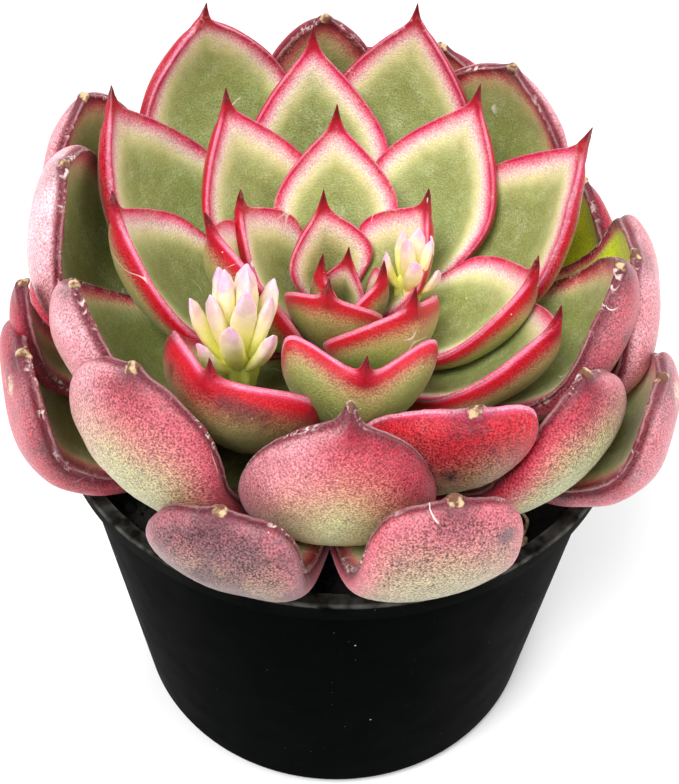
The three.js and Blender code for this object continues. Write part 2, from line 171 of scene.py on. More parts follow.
def ring_surface(rings: Array, poles: Array, values: dict[str, Array] | None = None) -> Surface:
    """A closed skin from rings of points: quads join the rings and a fan closes each end.

    Args:
        rings: Points in mm, shaped (rings, points a ring, 3).
        poles: The point that closes the first ring and the one that closes the last.
        values: Named values, one for each ring point; a pole takes its ring's mean.

    Returns:
        The skin, with its faces pointing out.
    """
    rows, columns = rings.shape[:2]
    row = np.arange(rows - 1)[:, None] * columns
    this = np.arange(columns)
    following = np.roll(this, -1)
    quads = np.stack([row + this, row + columns + this, row + columns + following, row + following], -1)
    start = np.full(columns, rows * columns)
    last = (rows - 1) * columns
    caps = np.concatenate([
        np.stack([start, this, following], -1),
        np.stack([start + 1, last + following, last + this], -1),
    ])
    points = np.concatenate([rings.reshape(-1, 3), poles])
    corners = points[quads.reshape(-1, 4)]
    middle = points.mean(0)
    normals = np.cross(corners[:, 2] - corners[:, 0], corners[:, 3] - corners[:, 1])
    inside_out = np.einsum("ij,ij->", corners.mean(1) - middle, normals) < 0
    step = -1 if inside_out else 1
    faces = quads.reshape(-1, 4)[:, ::step].tolist() + caps[:, ::step].tolist()
    kept = {
        key: np.concatenate([value.ravel(), [value[0].mean(), value[-1].mean()]])
        for key, value in (values or {}).items()
    }
    return Surface(points, faces, kept)


def turned_surface(profile: Array, sides: int) -> Surface:
    """A skin turned about Z from [radius, height] points that start and end on the axis."""
    angle = once_round(sides)
    rings = circled(profile[1:-1, :1], angle, profile[1:-1, 1:])
    poles = np.array([[0, 0, profile[0, 1]], [0, 0, profile[-1, 1]]])
    return ring_surface(rings, poles)


def rounded(profile: Array, radius: Array, steps: int = 5) -> Array:
    """Rounds the corners of a line of [radius, height] points.

    Each corner becomes the quadratic curve (1-t)^2 a + 2t(1-t) p + t^2 b, where p is
    the corner and a and b are its radius away along its two edges.

    Args:
        profile: Corner points, ends included.
        radius: How far the rounding reaches from each corner, in mm, 0 at the ends.
        steps: Points on each rounded corner.

    Returns:
        The rounded line.
    """
    edge = unit(np.diff(profile, axis=0))
    before = profile - np.concatenate([edge[:1], edge]) * radius[:, None]
    after = profile + np.concatenate([edge, edge[-1:]]) * radius[:, None]
    share = np.linspace(0, 1, steps)[:, None]
    curve = (
        (1 - share) ** 2 * before[:, None]
        + 2 * share * (1 - share) * profile[:, None]
        + share ** 2 * after[:, None]
    )
    return np.concatenate([profile[:1], curve[1:-1].reshape(-1, 2), profile[-1:]])


def tube_surface(path: Array, radius: Array, sides: int) -> Surface:
    """A round tube along a path of points, with a radius at each, closed at both ends."""
    along = unit(np.gradient(path, axis=0))
    across = unit(np.cross(along, [0.3, 0.2, 0.93]))
    upward = np.cross(along, across)
    angle = once_round(sides)[None, :, None]
    ring = np.cos(angle) * across[:, None] + np.sin(angle) * upward[:, None]
    return ring_surface(path[:, None] + ring * radius[:, None, None], path[[0, -1]])


def joined(parts: list[Surface]) -> Surface:
    """Several skins as one, each still closed."""
    starts = np.cumsum([0] + [len(part.points) for part in parts[:-1]])
    faces = [
        [corner + int(start) for corner in face]
        for part, start in zip(parts, starts) for face in part.faces
    ]
    values = {
        key: np.concatenate([part.values[key] for part in parts]) for key in parts[0].values
    }
    return Surface(np.concatenate([part.points for part in parts]), faces, values)


def settle(made: bpy.types.Object, slot: str, *nodes: str) -> None:
    """Makes a piece ride on the body and stand for its nodes."""
    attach(made, BODY)
    if nodes:
        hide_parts(*nodes)
    LOG.info("%s: %d faces", made.name, len(made.data.polygons))


class Shader:
    """A material being wired: each method adds a node and gives its output."""

    def __init__(self, name: str) -> None:
        """Starts a material on a plain shader, with Object coordinates at hand."""
        self.material = bpy.data.materials.new(name)
        self.material.use_nodes = True
        self.nodes = self.material.node_tree.nodes
        self.surface = self.nodes["Principled BSDF"]
        self.place = self.nodes.new("ShaderNodeTexCoord").outputs["Object"]

    def feed(self, socket: Socket, value: Socket | float | Colour) -> None:
        """Links an output to a socket, or sets the socket's own value."""
        if isinstance(value, bpy.types.NodeSocket):
            self.material.node_tree.links.new(value, socket)
        else:
            socket.default_value = value

    def set(self, **inputs: Socket | float | Colour) -> None:
        """Feeds the shader's inputs, named with _ for each space."""
        for name, value in inputs.items():
            self.feed(self.surface.inputs[name.replace("_", " ")], value)

    def value(self, name: str) -> Socket:
        """A named value that the mesh holds at its points."""
        node = self.nodes.new("ShaderNodeAttribute")
        node.attribute_name = name
        return node.outputs["Fac"]

    def noise(self, size: float, detail: float = 2, distortion: float = 0) -> Socket:
        """Cloudy noise, 0 to 1, with clouds of a size in mm."""
        node = self.nodes.new("ShaderNodeTexNoise")
        self.feed(node.inputs["Vector"], self.place)
        node.inputs["Scale"].default_value = 1 / (size * MM)
        node.inputs["Detail"].default_value = detail
        node.inputs["Distortion"].default_value = distortion
        return node.outputs[0]

    def specks(self, spacing: float, radius: float, share: float) -> Socket:
        """Round specks, 1 inside and 0 outside, in a share of cells of a size in mm."""
        node = self.nodes.new("ShaderNodeTexVoronoi")
        self.feed(node.inputs["Vector"], self.place)
        node.inputs["Scale"].default_value = 1 / (spacing * MM)
        chance = self.nodes.new("ShaderNodeSeparateColor")
        self.feed(chance.inputs[0], node.outputs["Color"])
        near = self.fade(node.outputs["Distance"], radius / spacing, 0.5 * radius / spacing)
        return self.calc("MULTIPLY", near, self.calc("GREATER_THAN", chance.outputs[0], 1 - share))

    def calc(self, operation: str, *values: Socket | float) -> Socket:
        """One sum on two or three values."""
        node = self.nodes.new("ShaderNodeMath")
        node.operation = operation
        for socket, value in zip(node.inputs, values):
            self.feed(socket, value)
        return node.outputs[0]

    def times(self, *values: Socket | float) -> Socket:
        """The product of some values."""
        return functools.reduce(lambda first, second: self.calc("MULTIPLY", first, second), values)

    def most(self, first: Socket, second: Socket | float) -> Socket:
        """The larger of two values."""
        return self.calc("MAXIMUM", first, second)

    def strayed(self, base: Socket | float, noise: Socket, amount: Socket | float) -> Socket:
        """A base value moved up and down by a noise, over an amount in all."""
        return self.calc("MULTIPLY_ADD", self.calc("SUBTRACT", noise, 0.5), amount, base)

    def fade(self, value: Socket, empty: float, full: float) -> Socket:
        """0 where the value is at empty, 1 where it is at full, smooth between."""
        node = self.nodes.new("ShaderNodeMapRange")
        node.interpolation_type = "SMOOTHSTEP"
        self.feed(node.inputs["Value"], value)
        node.inputs["From Min"].default_value = empty
        node.inputs["From Max"].default_value = full
        return node.outputs["Result"]

    def ramp(self, factor: Socket, stops: Stops) -> Socket:
        """Colours along a line of stops, read at a factor."""
        node = self.nodes.new("ShaderNodeValToRGB")
        elements = node.color_ramp.elements
        elements.remove(elements[1])
        elements[0].position, elements[0].color = stops[0]
        for position, colour in stops[1:]:
            elements.new(position).color = colour
        self.feed(node.inputs["Fac"], factor)
        return node.outputs["Color"]

    def mix(self, factor: Socket | float, first: Socket | Colour, second: Socket | Colour) -> Socket:
        """The first colour turning into the second as the factor goes from 0 to 1."""
        node = self.nodes.new("ShaderNodeMix")
        node.data_type = "RGBA"
        for index, value in ((0, factor), (6, first), (7, second)):
            self.feed(node.inputs[index], value)
        return node.outputs[2]

    def shade(self, colour: Socket, amount: Socket) -> Socket:
        """A colour made darker or lighter by an amount round 1."""
        node = self.nodes.new("ShaderNodeVectorMath")
        node.operation = "SCALE"
        self.feed(node.inputs[0], colour)
        self.feed(node.inputs["Scale"], amount)
        return node.outputs[0]

    def bump(self, height: Socket, depth: float, below: Socket | None = None) -> Socket:
        """A normal roughened by a height of a depth in mm, over another normal."""
        node = self.nodes.new("ShaderNodeBump")
        node.inputs["Distance"].default_value = depth * MM
        self.feed(node.inputs["Height"], height)
        if below is not None:
            self.feed(node.inputs["Normal"], below)
        return node.outputs["Normal"]


@dataclass(frozen=True)
class LeafSkin:
    """Waxy leaf skin that blushes from green to crimson at the margins and tip.

    The mesh holds the distances to the margin and the tip, and how far the blush
    reaches from each. A blush of 1 - s t / (s + t), with s and t the two distances
    over their reaches, is shifted by clouds and by a fine grain, and then read on
    the colour stops, so the zones meet in speckles.
    """

    name: str
    face: Stops
    back: Stops
    # cork_and_highlight: strength of the cork flecks and the painted highlight line at the margin
    cork_and_highlight: float
    bloom: float
    powder: float
    grain_depth: float
    speckle: float = 0.11
    cloud_shift: float = 0.22
    grain_size: float = 0.26
    cloud_size: float = 7.0

    def material(self) -> bpy.types.Material:
        """Wires the skin: zones, grain, a painted glow, powder with a painted highlight, painted shade, dry
        scab, cork with a painted highlight line at the margin, dust and bloom.
        """
        shader = Shader(self.name)
        clouds = shader.noise(self.cloud_size, 3)
        grain = shader.fade(shader.noise(self.grain_size, 2), 0.25, 0.75)
        patches = shader.noise(1.6, 3)
        face = self.zoned(shader, self.face, FRESH_FACE, self.blush(shader, "face", clouds, grain))
        face = shader.mix(self.wax(shader), face, tint(206, 216, 176))
        # Painted glow: a bright lime patch on the face, away from the margin, on leaves 32 and 40 where they
        # lie in shade.
        inside = shader.times(shader.fade(shader.value("rim"), 1.0, 2.6), shader.value("painted_glow"))
        face = shader.mix(inside, face, tint(226, 246, 50))
        back = self.zoned(shader, self.back, FRESH_BACK, self.blush(shader, "back", clouds, grain))
        back = shader.mix(self.bruises(shader), back, tint(84, 34, 46))
        back = shader.mix(self.ragged(shader, "bruise", patches), back, tint(52, 20, 34))
        # Real powder and painted highlight: pale pink-white on the backs, heavier on one side of some
        # leaves.
        back = shader.mix(self.powder_and_highlight(shader, clouds), back, tint(252, 198, 206))
        back = shader.mix(self.ragged(shader, "scar", patches), back, tint(240, 226, 190))
        skin = shader.mix(shader.value("back"), face, back)
        depth = shader.calc("MULTIPLY_ADD", shader.value("back"), self.grain_depth - 0.45, 0.45)
        light = shader.strayed(shader.strayed(1.0, grain, depth), patches, 0.3)
        # Painted shade: the skin darkens away from the margin on the leaves given painted_shade, for the
        # shade deep in the heart and on the lower parts of older leaves.
        painted_shade = shader.times(shader.value("painted_shade"), shader.fade(shader.value("rim"), 1.2, 6.0))
        skin = shader.shade(skin, shader.calc("SUBTRACT", light, painted_shade))
        skin = shader.mix(self.farina(shader), skin, tint(244, 216, 220))

        tip = shader.strayed(shader.value("tip"), patches, 1.6)
        dry = shader.value("dry")
        living = shader.calc("SUBTRACT", 1, dry)
        for empty, full, colour in ((6.0, 3.2, tint(182, 12, 42)), (3.6, 1.2, tint(112, 8, 26))):
            skin = shader.mix(shader.times(shader.fade(tip, empty, full), living), skin, colour)
        bruise = shader.times(shader.fade(tip, 5.0, 1.4), dry, 0.45)
        skin = shader.mix(bruise, skin, tint(88, 28, 44))
        # Real cork flecks and a painted highlight line along the margin.
        cork_and_highlight = self.corky(shader)
        skin = shader.mix(cork_and_highlight, skin, tint(232, 210, 206))
        scab = shader.times(shader.fade(tip, 1.15, 0.85), dry)
        crust = shader.mix(shader.fade(patches, 0.4, 0.55), tint(210, 182, 142), tint(112, 74, 54))
        skin = shader.mix(scab, skin, crust)
        dust = shader.most(shader.specks(2.6, 0.16, 0.2), self.threads(shader))
        skin = shader.mix(shader.times(dust, 0.7), skin, tint(248, 244, 232))

        rough = shader.calc("MULTIPLY_ADD", grain, 0.16, 0.36)
        rough = shader.calc("MULTIPLY_ADD", shader.most(scab, cork_and_highlight), 0.35, rough)
        flesh = shader.bump(grain, 0.05)
        crusted = shader.bump(shader.times(patches, shader.most(scab, cork_and_highlight)), 0.25, flesh)
        shader.set(Base_Color=skin, Roughness=rough, Normal=crusted)
        shader.set(Subsurface_Weight=0.12, Subsurface_Radius=(1.0, 0.45, 0.25), Subsurface_Scale=1.2 * MM)
        shader.set(Sheen_Weight=self.bloom, Sheen_Roughness=0.35, Sheen_Tint=tint(255, 226, 232))
        shader.set(IOR=1.42)
        return shader.material

    def zoned(self, shader: Shader, own: Stops, fresh: Stops, blush: Socket) -> Socket:
        """A blush read on the skin's own stops, and on the fresh ones on fresh leaves."""
        return shader.mix(shader.value("fresh"), shader.ramp(blush, own), shader.ramp(blush, fresh))

    def blush(self, shader: Shader, half: str, clouds: Socket, grain: Socket) -> Socket:
        """The blush of the face or of the back, strayed by clouds and by the grain."""
        side = shader.calc("DIVIDE", shader.value("rim"), shader.value(f"{half}_reach"))
        end = shader.calc("DIVIDE", shader.value("tip"), shader.value(f"{half}_tip_reach"))
        total = shader.most(shader.calc("ADD", side, end), 0.001)
        even = shader.calc("SUBTRACT", 1, shader.calc("DIVIDE", shader.times(side, end), total))
        inside = shader.most(shader.times(even, shader.calc("SUBTRACT", 1, even)), 0)
        drift = shader.times(inside, 4 * self.cloud_shift)
        drifted = shader.strayed(even, clouds, drift)
        amount = shader.times(inside, 4 * self.speckle)
        return shader.calc("MULTIPLY_ADD", shader.calc("SUBTRACT", 0.5, grain), amount, drifted)

    def bruises(self, shader: Shader) -> Socket:
        """Dusky purple blotches, wider on the duskier leaves."""
        dusk = shader.value("dusk")
        blotch = shader.fade(shader.noise(5, 3, 0.4), 0.62, 0.3)
        even = shader.calc("SUBTRACT", shader.calc("MULTIPLY_ADD", dusk, 1.2, blotch), 0.9)
        near = shader.most(shader.fade(shader.value("rim"), 11, 4), shader.fade(dusk, 0.7, 1.0))
        return shader.times(shader.fade(even, 0.0, 0.9), near, 0.8)

    def powder_and_highlight(self, shader: Shader, clouds: Socket) -> Socket:
        """Pink-white powder with a painted highlight of the bright edges, thick and cloudy on some backs,
        short of the margin.
        """
        inside = shader.fade(shader.value("rim"), 0.4, 1.6)
        return shader.times(shader.strayed(1.0, clouds, 1.6), inside, shader.value("powder_and_highlight"))

    def ragged(self, shader: Shader, mark: str, patches: Socket) -> Socket:
        """A mark that the mesh holds, frayed by the patches."""
        return shader.times(shader.value(mark), shader.fade(patches, 0.3, 0.6))

    def wax(self, shader: Shader) -> Socket:
        """A pale waxy haze on the face, in clouds and fine grains."""
        clouds = shader.fade(shader.noise(3.2, 3), 0.42, 0.72)
        grains = shader.fade(shader.noise(0.3, 2), 0.38, 0.66)
        return shader.times(clouds, grains, 0.38)

    def threads(self, shader: Shader) -> Socket:
        """Hair-thin pale fibres: where a slow noise crosses its middle, in few places."""
        course = shader.calc("ABSOLUTE", shader.calc("SUBTRACT", shader.noise(6, 0), 0.5))
        few = shader.fade(shader.noise(8, 1), 0.68, 0.74)
        return shader.times(shader.fade(course, 0.01, 0.003), few)

    def farina(self, shader: Shader) -> Socket:
        """Waxy powder on the back: fine pale grains, thicker in patches and near the margin."""
        grains = shader.fade(shader.noise(0.3, 2), 0.46, 0.68)
        patches = shader.fade(shader.noise(4.5, 3), 0.4, 0.7)
        near = shader.calc("MULTIPLY_ADD", shader.fade(shader.value("rim"), 8, 1), 0.6, 0.4)
        return shader.times(grains, patches, near, shader.value("back"), self.powder)

    def corky(self, shader: Shader) -> Socket:
        """White cork flecks in stretches along the margin, and a painted highlight line on its very edge."""
        rim = shader.value("rim")
        stretches = shader.noise(5.5, 1)
        grains = shader.fade(shader.noise(0.9, 5, 0.8), 0.5, 0.62)
        worn = shader.fade(stretches, 0.48, 0.64)
        aged = shader.calc("MULTIPLY_ADD", shader.value("fresh"), -0.8, 1.0)
        flecks = shader.times(shader.fade(rim, 0.8, 0.1), grains, worn, aged)
        # Painted highlight: a pale line along the margin ridge, in stretches.
        ridge = shader.calc("ABSOLUTE", shader.calc("SUBTRACT", shader.value("back"), 0.45))
        line = shader.times(shader.fade(ridge, 0.4, 0.1), shader.fade(stretches, 0.62, 0.4), 0.2)
        return shader.times(shader.most(flecks, line), self.cork_and_highlight)


FRESH_FACE: Stops = (
    (0.00, tint(144, 154, 88)),
    (0.28, tint(172, 180, 112)),
    (0.46, tint(226, 222, 160)),
    (0.60, tint(250, 232, 208)),
    (0.71, tint(252, 200, 206)),
    (0.81, tint(250, 146, 170)),
    (0.90, tint(238, 84, 120)),
    (0.96, tint(208, 30, 72)),
    (1.00, tint(206, 60, 104)),
)

FRESH_BACK: Stops = (
    (0.00, tint(138, 150, 80)),
    (0.26, tint(158, 164, 92)),
    (0.42, tint(178, 160, 104)),
    (0.55, tint(178, 118, 88)),
    (0.67, tint(180, 56, 58)),
    (0.79, tint(194, 8, 30)),
    (0.90, tint(186, 6, 40)),
    (0.96, tint(220, 76, 114)),
    (1.00, tint(244, 166, 190)),
)

YOUNG_SKIN = LeafSkin(
    name="young_leaf_skin",
    face=FRESH_FACE,
    back=FRESH_BACK,
    cork_and_highlight=0.12,
    bloom=0.1,
    powder=0.0,
    grain_depth=0.4,
)

OLD_SKIN = LeafSkin(
    name="old_leaf_skin",
    face=(
        (0.00, tint(140, 150, 82)),
        (0.35, tint(164, 170, 106)),
        (0.55, tint(206, 186, 132)),
        (0.70, tint(214, 118, 112)),
        (0.84, tint(176, 36, 56)),
        (0.94, tint(112, 18, 36)),
        (1.00, tint(132, 44, 60)),
    ),
    back=(
        (0.00, tint(184, 192, 132)),
        (0.22, tint(192, 186, 130)),
        (0.36, tint(200, 156, 118)),
        (0.48, tint(202, 116, 106)),
        (0.62, tint(190, 70, 84)),
        (0.78, tint(168, 34, 56)),
        (0.92, tint(114, 18, 38)),
        (1.00, tint(116, 44, 56)),
    ),
    cork_and_highlight=0.9,
    bloom=0.2,
    powder=0.12,
    grain_depth=1.1,
)


@dataclass(frozen=True)
class BudSkin:
    """Pale fleshy bracts: yellow-green below, cream, then lilac pink at the points."""

    name: str = "flower_bud_skin"

    def material(self) -> bpy.types.Material:
        """Wires the bracts' colours along their length, with soft mottling."""
        shader = Shader(self.name)
        along = shader.strayed(shader.value("along"), shader.noise(1.8, 2), 0.3)
        skin = shader.ramp(along, (
            (0.00, tint(238, 244, 120)),
            (0.35, tint(252, 250, 136)),
            (0.62, tint(254, 250, 178)),
            (0.82, tint(254, 236, 214)),
            (1.00, tint(234, 184, 222)),
        ))
        grain = shader.noise(0.4, 1)
        skin = shader.shade(skin, shader.calc("MULTIPLY_ADD", grain, 0.2, 0.9))
        shader.set(Base_Color=skin, Roughness=0.42, Normal=shader.bump(grain, 0.04))
        shader.set(Subsurface_Weight=0.3, Subsurface_Radius=(1.0, 0.8, 0.3), Subsurface_Scale=1.5 * MM)
        return shader.material


@dataclass(frozen=True)
class PotPlastic:
    """Black satin plastic with moulding grain, scuffs with a painted highlight, smudges with a painted
    sheen, and dust.
    """

    name: str = "pot_plastic_finish"
    black: Colour = tint(2, 3, 3)
    # The dust colour also paints the sheen on the sides and the highlight on the rim's edges.
    dust: Colour = tint(150, 148, 142)

    def material(self) -> bpy.types.Material:
        """Wires the plastic: smudges with a painted sheen and specks over black, scuffed where rubbed, with
        a painted highlight on the rim's edges.
        """
        shader = Shader(self.name)
        # Dust with a painted sheen: lighter smudges towards the pot's left and right sides and near the rim.
        smudge_and_sheen = shader.times(shader.fade(shader.noise(9, 5), 0.25, 0.85), shader.value("dust_and_sheen"))
        # Real scuffs with a painted highlight on the rim's two edges and a lighter top ledge.
        worn = shader.times(shader.value("worn"), shader.fade(shader.noise(3.0, 3), 0.3, 0.66))
        skin = shader.mix(shader.times(smudge_and_sheen, 0.05), self.black, self.dust)
        skin = shader.mix(shader.times(worn, 0.3), skin, self.dust)
        skin = shader.mix(shader.specks(3.2, 0.2, 0.1), skin, tint(214, 210, 202))
        skin = shader.mix(shader.times(shader.specks(1.1, 0.1, 0.1), 0.4), skin, self.dust)
        rough = shader.calc("MULTIPLY_ADD", shader.noise(5, 4), 0.2, 0.35)
        rough = shader.calc("MULTIPLY_ADD", shader.most(smudge_and_sheen, worn), 0.2, rough)
        shader.set(Base_Color=skin, Roughness=rough, Normal=shader.bump(shader.noise(0.35, 2), 0.02))
        shader.set(Specular_IOR_Level=0.002)
        return shader.material


@dataclass(frozen=True)
class SoilMix:
    """Dark damp potting mix; each crumb has its own tone, from black peat to pale grit."""

    name: str = "soil_finish"

    def material(self) -> bpy.types.Material:
        """Wires the crumbs' tones with a fine crumbly bump."""
        shader = Shader(self.name)
        tone = shader.strayed(shader.value("tone"), shader.noise(0.9, 3), 0.3)
        skin = shader.ramp(tone, (
            (0.00, tint(8, 7, 6)),
            (0.50, tint(22, 18, 15)),
            (0.80, tint(74, 62, 50)),
            (0.95, tint(150, 136, 116)),
            (1.00, tint(206, 198, 184)),
        ))
        shader.set(Base_Color=skin, Roughness=0.9, Normal=shader.bump(shader.noise(0.5, 4), 0.3))
        return shader.material


@dataclass(frozen=True)
class PlantFibre:
    """Dry or woody plant matter in two mottled colours."""

    name: str
    pale: Colour
    dark: Colour

    def material(self) -> bpy.types.Material:
        """Wires the two colours through streaky noise."""
        shader = Shader(self.name)
        streaks = shader.noise(0.8, 4, 1.0)
        skin = shader.mix(shader.fade(streaks, 0.35, 0.7), self.pale, self.dark)
        shader.set(Base_Color=skin, Roughness=0.8, Normal=shader.bump(streaks, 0.15))
        return shader.material


@dataclass(frozen=True)
class FloorPaint:
    """Plain matt white floor."""

    name: str = "floor_paint"

    def material(self) -> bpy.types.Material:
        """Wires a faint, wide mottling so that the floor isn't one flat value."""
        shader = Shader(self.name)
        white = shader.mix(shader.noise(120, 2), tint(245, 245, 245), tint(247, 247, 247))
        shader.set(Base_Color=white, Roughness=0.7)
        return shader.material


@dataclass(frozen=True)
class Pot:
    """Thin tapered nursery pot under a solid rim band with a flat ledge."""

    height: float
    rim_radius: float
    ledge: float = 2.2
    band: float = 4.1
    band_taper: float = 0.5
    wall_top_radius: float = 42.8
    foot_radius: float = 36.6
    foot_rounding: float = 3.4
    wall: float = 1.1
    floor: float = 1.4
    drain_holes: int = 6
    drain_radius: float = 4.0
    drain_circle: float = 22.0
    drain_sides: int = 40
    sides: int = 240
    longest_step: float = 3.0

    @classmethod
    def from_frame(cls) -> "Pot":
        """The pot with the height and rim that the frame gives."""
        low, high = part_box("pot")
        return cls(height=(high.z - low.z) / MM, rim_radius=(high.y - low.y) / 2 / MM)

    def inner_radius(self, height: float) -> float:
        """Inside radius of the wall at a height under the rim band."""
        share = (height - self.foot_rounding) / (self.height - self.band - self.foot_rounding)
        return lerp(self.foot_radius, self.wall_top_radius, share) - self.wall

    def shell(self) -> Surface:
        """The wall, band, ledge and floor as one turned skin, with rounded corners.

        Returns:
            The skin, with a value "worn" that is 1 on the rim's two edges, for rubbed edges with a painted
            highlight, and
            "dust_and_sheen" that rises to the left and right sides and on the band, for dust with a painted
            sheen.
        """
        band_foot = self.height - self.band
        flat = self.foot_radius - self.foot_rounding
        turn = np.linspace(0, math.pi / 2, 9)
        corner = np.stack([
            flat + self.foot_rounding * np.sin(turn), self.foot_rounding * (1 - np.cos(turn)),
        ], -1)
        upper = np.array([
            [self.wall_top_radius, band_foot],
            [self.rim_radius - self.band_taper, band_foot],
            [self.rim_radius, self.height],
            [self.rim_radius - self.ledge, self.height],
            [self.inner_radius(band_foot), band_foot - self.wall],
            [self.inner_radius(self.foot_rounding), self.foot_rounding],
            [flat, self.floor],
            [0, self.floor],
        ])
        profile = np.concatenate([[[0, 0]], corner, upper])
        radius = np.concatenate([np.zeros(10), [0.5, 0.5, 0.45, 0.4, 0.8, 1.5, 1.5, 0]])
        line = rounded(profile, radius)
        steps = np.linalg.norm(np.diff(line, axis=0), axis=1)
        line = line[np.concatenate([[True], steps > 1e-6])]
        skin = turned_surface(self.filled(line), self.sides)
        from_axis = np.hypot(skin.points[:, 0], skin.points[:, 1])
        below_rim = self.height - skin.points[:, 2]
        outside = from_axis - self.rim_radius
        edge = np.minimum(np.abs(outside), np.abs(outside + self.ledge))
        # Rubbed rim edges and a lighter top ledge: real wear with a painted highlight.
        worn = smoothstep(edge, 0.6, 0.1) * smoothstep(below_rim, 0.9, 0.3)
        skin.values["worn"] = np.clip(worn + 0.12 * smoothstep(below_rim, 0.3, 0.1), 0, 1)
        # Dust with a painted sheen: lighter towards the left and right sides and near the rim.
        sides = smoothstep(np.abs(skin.points[:, 0]), 12, 30)
        high = lerp(0.35, 1, smoothstep(below_rim, 9, 3)) * smoothstep(below_rim, 55, 25)
        skin.values["dust_and_sheen"] = sides * high
        return skin

    def filled(self, line: Array) -> Array:
        """A profile with points added so that no step is over the longest one."""
        run = run_of(line)
        extra = np.arange(0, run[-1], self.longest_step)
        return read_at(np.unique(np.round(np.concatenate([run, extra]), 4)), run, line)

    def build(self, finish: PotPlastic) -> None:
        """Makes the pot, drills its drain holes and puts it in the frame's place."""
        shell = self.shell().piece("pot_shell", finish.material())
        drill = self.drills().piece("pot_drills", finish.material())
        cut = shell.modifiers.new("drain_holes", "BOOLEAN")
        cut.operation = "DIFFERENCE"
        cut.solver = "EXACT"
        cut.object = drill
        ready = shell.evaluated_get(bpy.context.evaluated_depsgraph_get())
        mesh = bpy.data.meshes.new_from_object(ready)
        shell.modifiers.clear()
        shell.data = mesh
        bpy.data.objects.remove(drill)
        settle(shell, "pot_plastic", "pot")

    def drills(self) -> Surface:
        """One upright pin for each drain hole."""
        pin = turned_surface(np.array([
            [0, -self.floor], [self.drain_radius, -self.floor],
            [self.drain_radius, 2 * self.floor], [0, 2 * self.floor],
        ]), self.drain_sides)
        places = circled(self.drain_circle, once_round(self.drain_holes), 0.0)
        return joined([Surface(pin.points + place, pin.faces) for place in places])


@dataclass(frozen=True)
class Soil:
    """Dark mix that fills the pot, uneven on top, with loose crumbs and grit."""

    top: float
    edge: float
    foot: float
    bottom: float
    mound: float = 1.0
    crumbs: int = 1500
    grit_share: float = 0.008
    sides: int = 160

    @classmethod
    def from_frame(cls, pot: Pot) -> "Soil":
        """The soil with the top, edge and bottom that the frame gives."""
        low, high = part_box("soil")
        return cls(
            top=high.z / MM,
            edge=(high.y - low.y) / 2 / MM,
            foot=pot.foot_radius - pot.foot_rounding - pot.wall,
            bottom=low.z / MM,
        )

    def level(self, radius: Array) -> Array:
        """Height of the mounded top at a radius, falling with its square."""
        return self.top - self.mound * (radius / self.edge) ** 2

    def bed(self) -> Surface:
        """The mass: a turned skin whose top is roughened by two sizes of ripple."""
        top_radius = np.linspace(1.0, self.edge, 60)
        wall_height = np.linspace(self.level(self.edge), self.bottom + 3, 8)[1:]
        wall_share = (wall_height - self.bottom) / (self.level(self.edge) - self.bottom)
        line = np.concatenate([
            [[0, self.level(0)]],
            np.stack([top_radius, self.level(top_radius)], -1),
            np.stack([lerp(self.foot + 2.5, self.edge, wall_share), wall_height], -1),
            [[self.foot, self.bottom], [0, self.bottom]],
        ])
        skin = turned_surface(line, self.sides)
        high = skin.points[:, 2] > self.level(self.edge) - 0.5
        rough = 0.45 * ripple(skin.points, 5, 11) + 0.3 * ripple(skin.points, 1.7, 12)
        skin.points[:, 2] += np.where(high, np.minimum(rough, 0.9) - 0.3, 0)
        skin.values["tone"] = np.full(len(skin.points), 0.3)
        return skin

    def crumb_heap(self) -> Surface:
        """Small lumps strewn over the top: rings of a ball, squashed, turned and dented.

        Returns:
            The lumps as one skin, with a value "tone" for each lump.
        """
        rng = np.random.default_rng(5)
        ball = ring_surface(ball_rings(0.5, 4, 6), np.array([[0, 0, 1.0], [0, 0, -1.0]]))
        radius = self.edge * np.sqrt(rng.uniform(0.2, 0.985, self.crumbs))
        around = rng.uniform(0, 2 * math.pi, self.crumbs)
        size = np.clip(rng.lognormal(-0.75, 0.5, self.crumbs), 0.2, 1.4)
        squash = rng.uniform(0.5, 1.0, (self.crumbs, 1, 3))
        dents = rng.uniform(0.75, 1.2, (self.crumbs, len(ball.points), 1))
        spin = np.linalg.qr(rng.normal(size=(self.crumbs, 3, 3)))[0]
        place = circled(radius, around, self.level(radius))
        lumps = np.einsum("nij,nkj->nki", spin, ball.points * dents * squash) * size[:, None, None]
        points = lumps + place[:, None]
        grit = rng.uniform(size=self.crumbs) < self.grit_share
        tone = np.where(grit, rng.uniform(0.75, 1, self.crumbs), rng.uniform(0, 0.45, self.crumbs))
        count = len(ball.points)
        faces = [
            [corner + lump * count for corner in face]
            for lump in range(self.crumbs) for face in ball.faces
        ]
        return Surface(points.reshape(-1, 3), faces, {"tone": np.repeat(tone, count)})

    def build(self, finish: SoilMix) -> None:
        """Makes the mass and its crumbs and puts them in the frame's place."""
        material = finish.material()
        settle(self.bed().piece("soil_bed", material), "soil", "soil")
        settle(self.crumb_heap().piece("soil_crumbs", material), "soil")


class Tip(Enum):
    """How a leaf ends: (length, half width at its root, half width at its point)."""

    SPINE = (4.6, 1.25, 0.1)
    DRY_SPINE = (4.2, 1.9, 0.4)
    STUB = (1.3, 1.0, 0.7)


@dataclass(frozen=True)
class Stop:
    """Tip radius and height, bulge past the tip, and width, at one leaf of the spiral."""

    leaf: int
    radius: float
    height: float
    bulge: float
    width: float


@dataclass(frozen=True)
class Spot:
    """A mark on a leaf's back: share of the length, side from -1 to 1, radius in mm."""

    share: float
    side: float
    radius: float


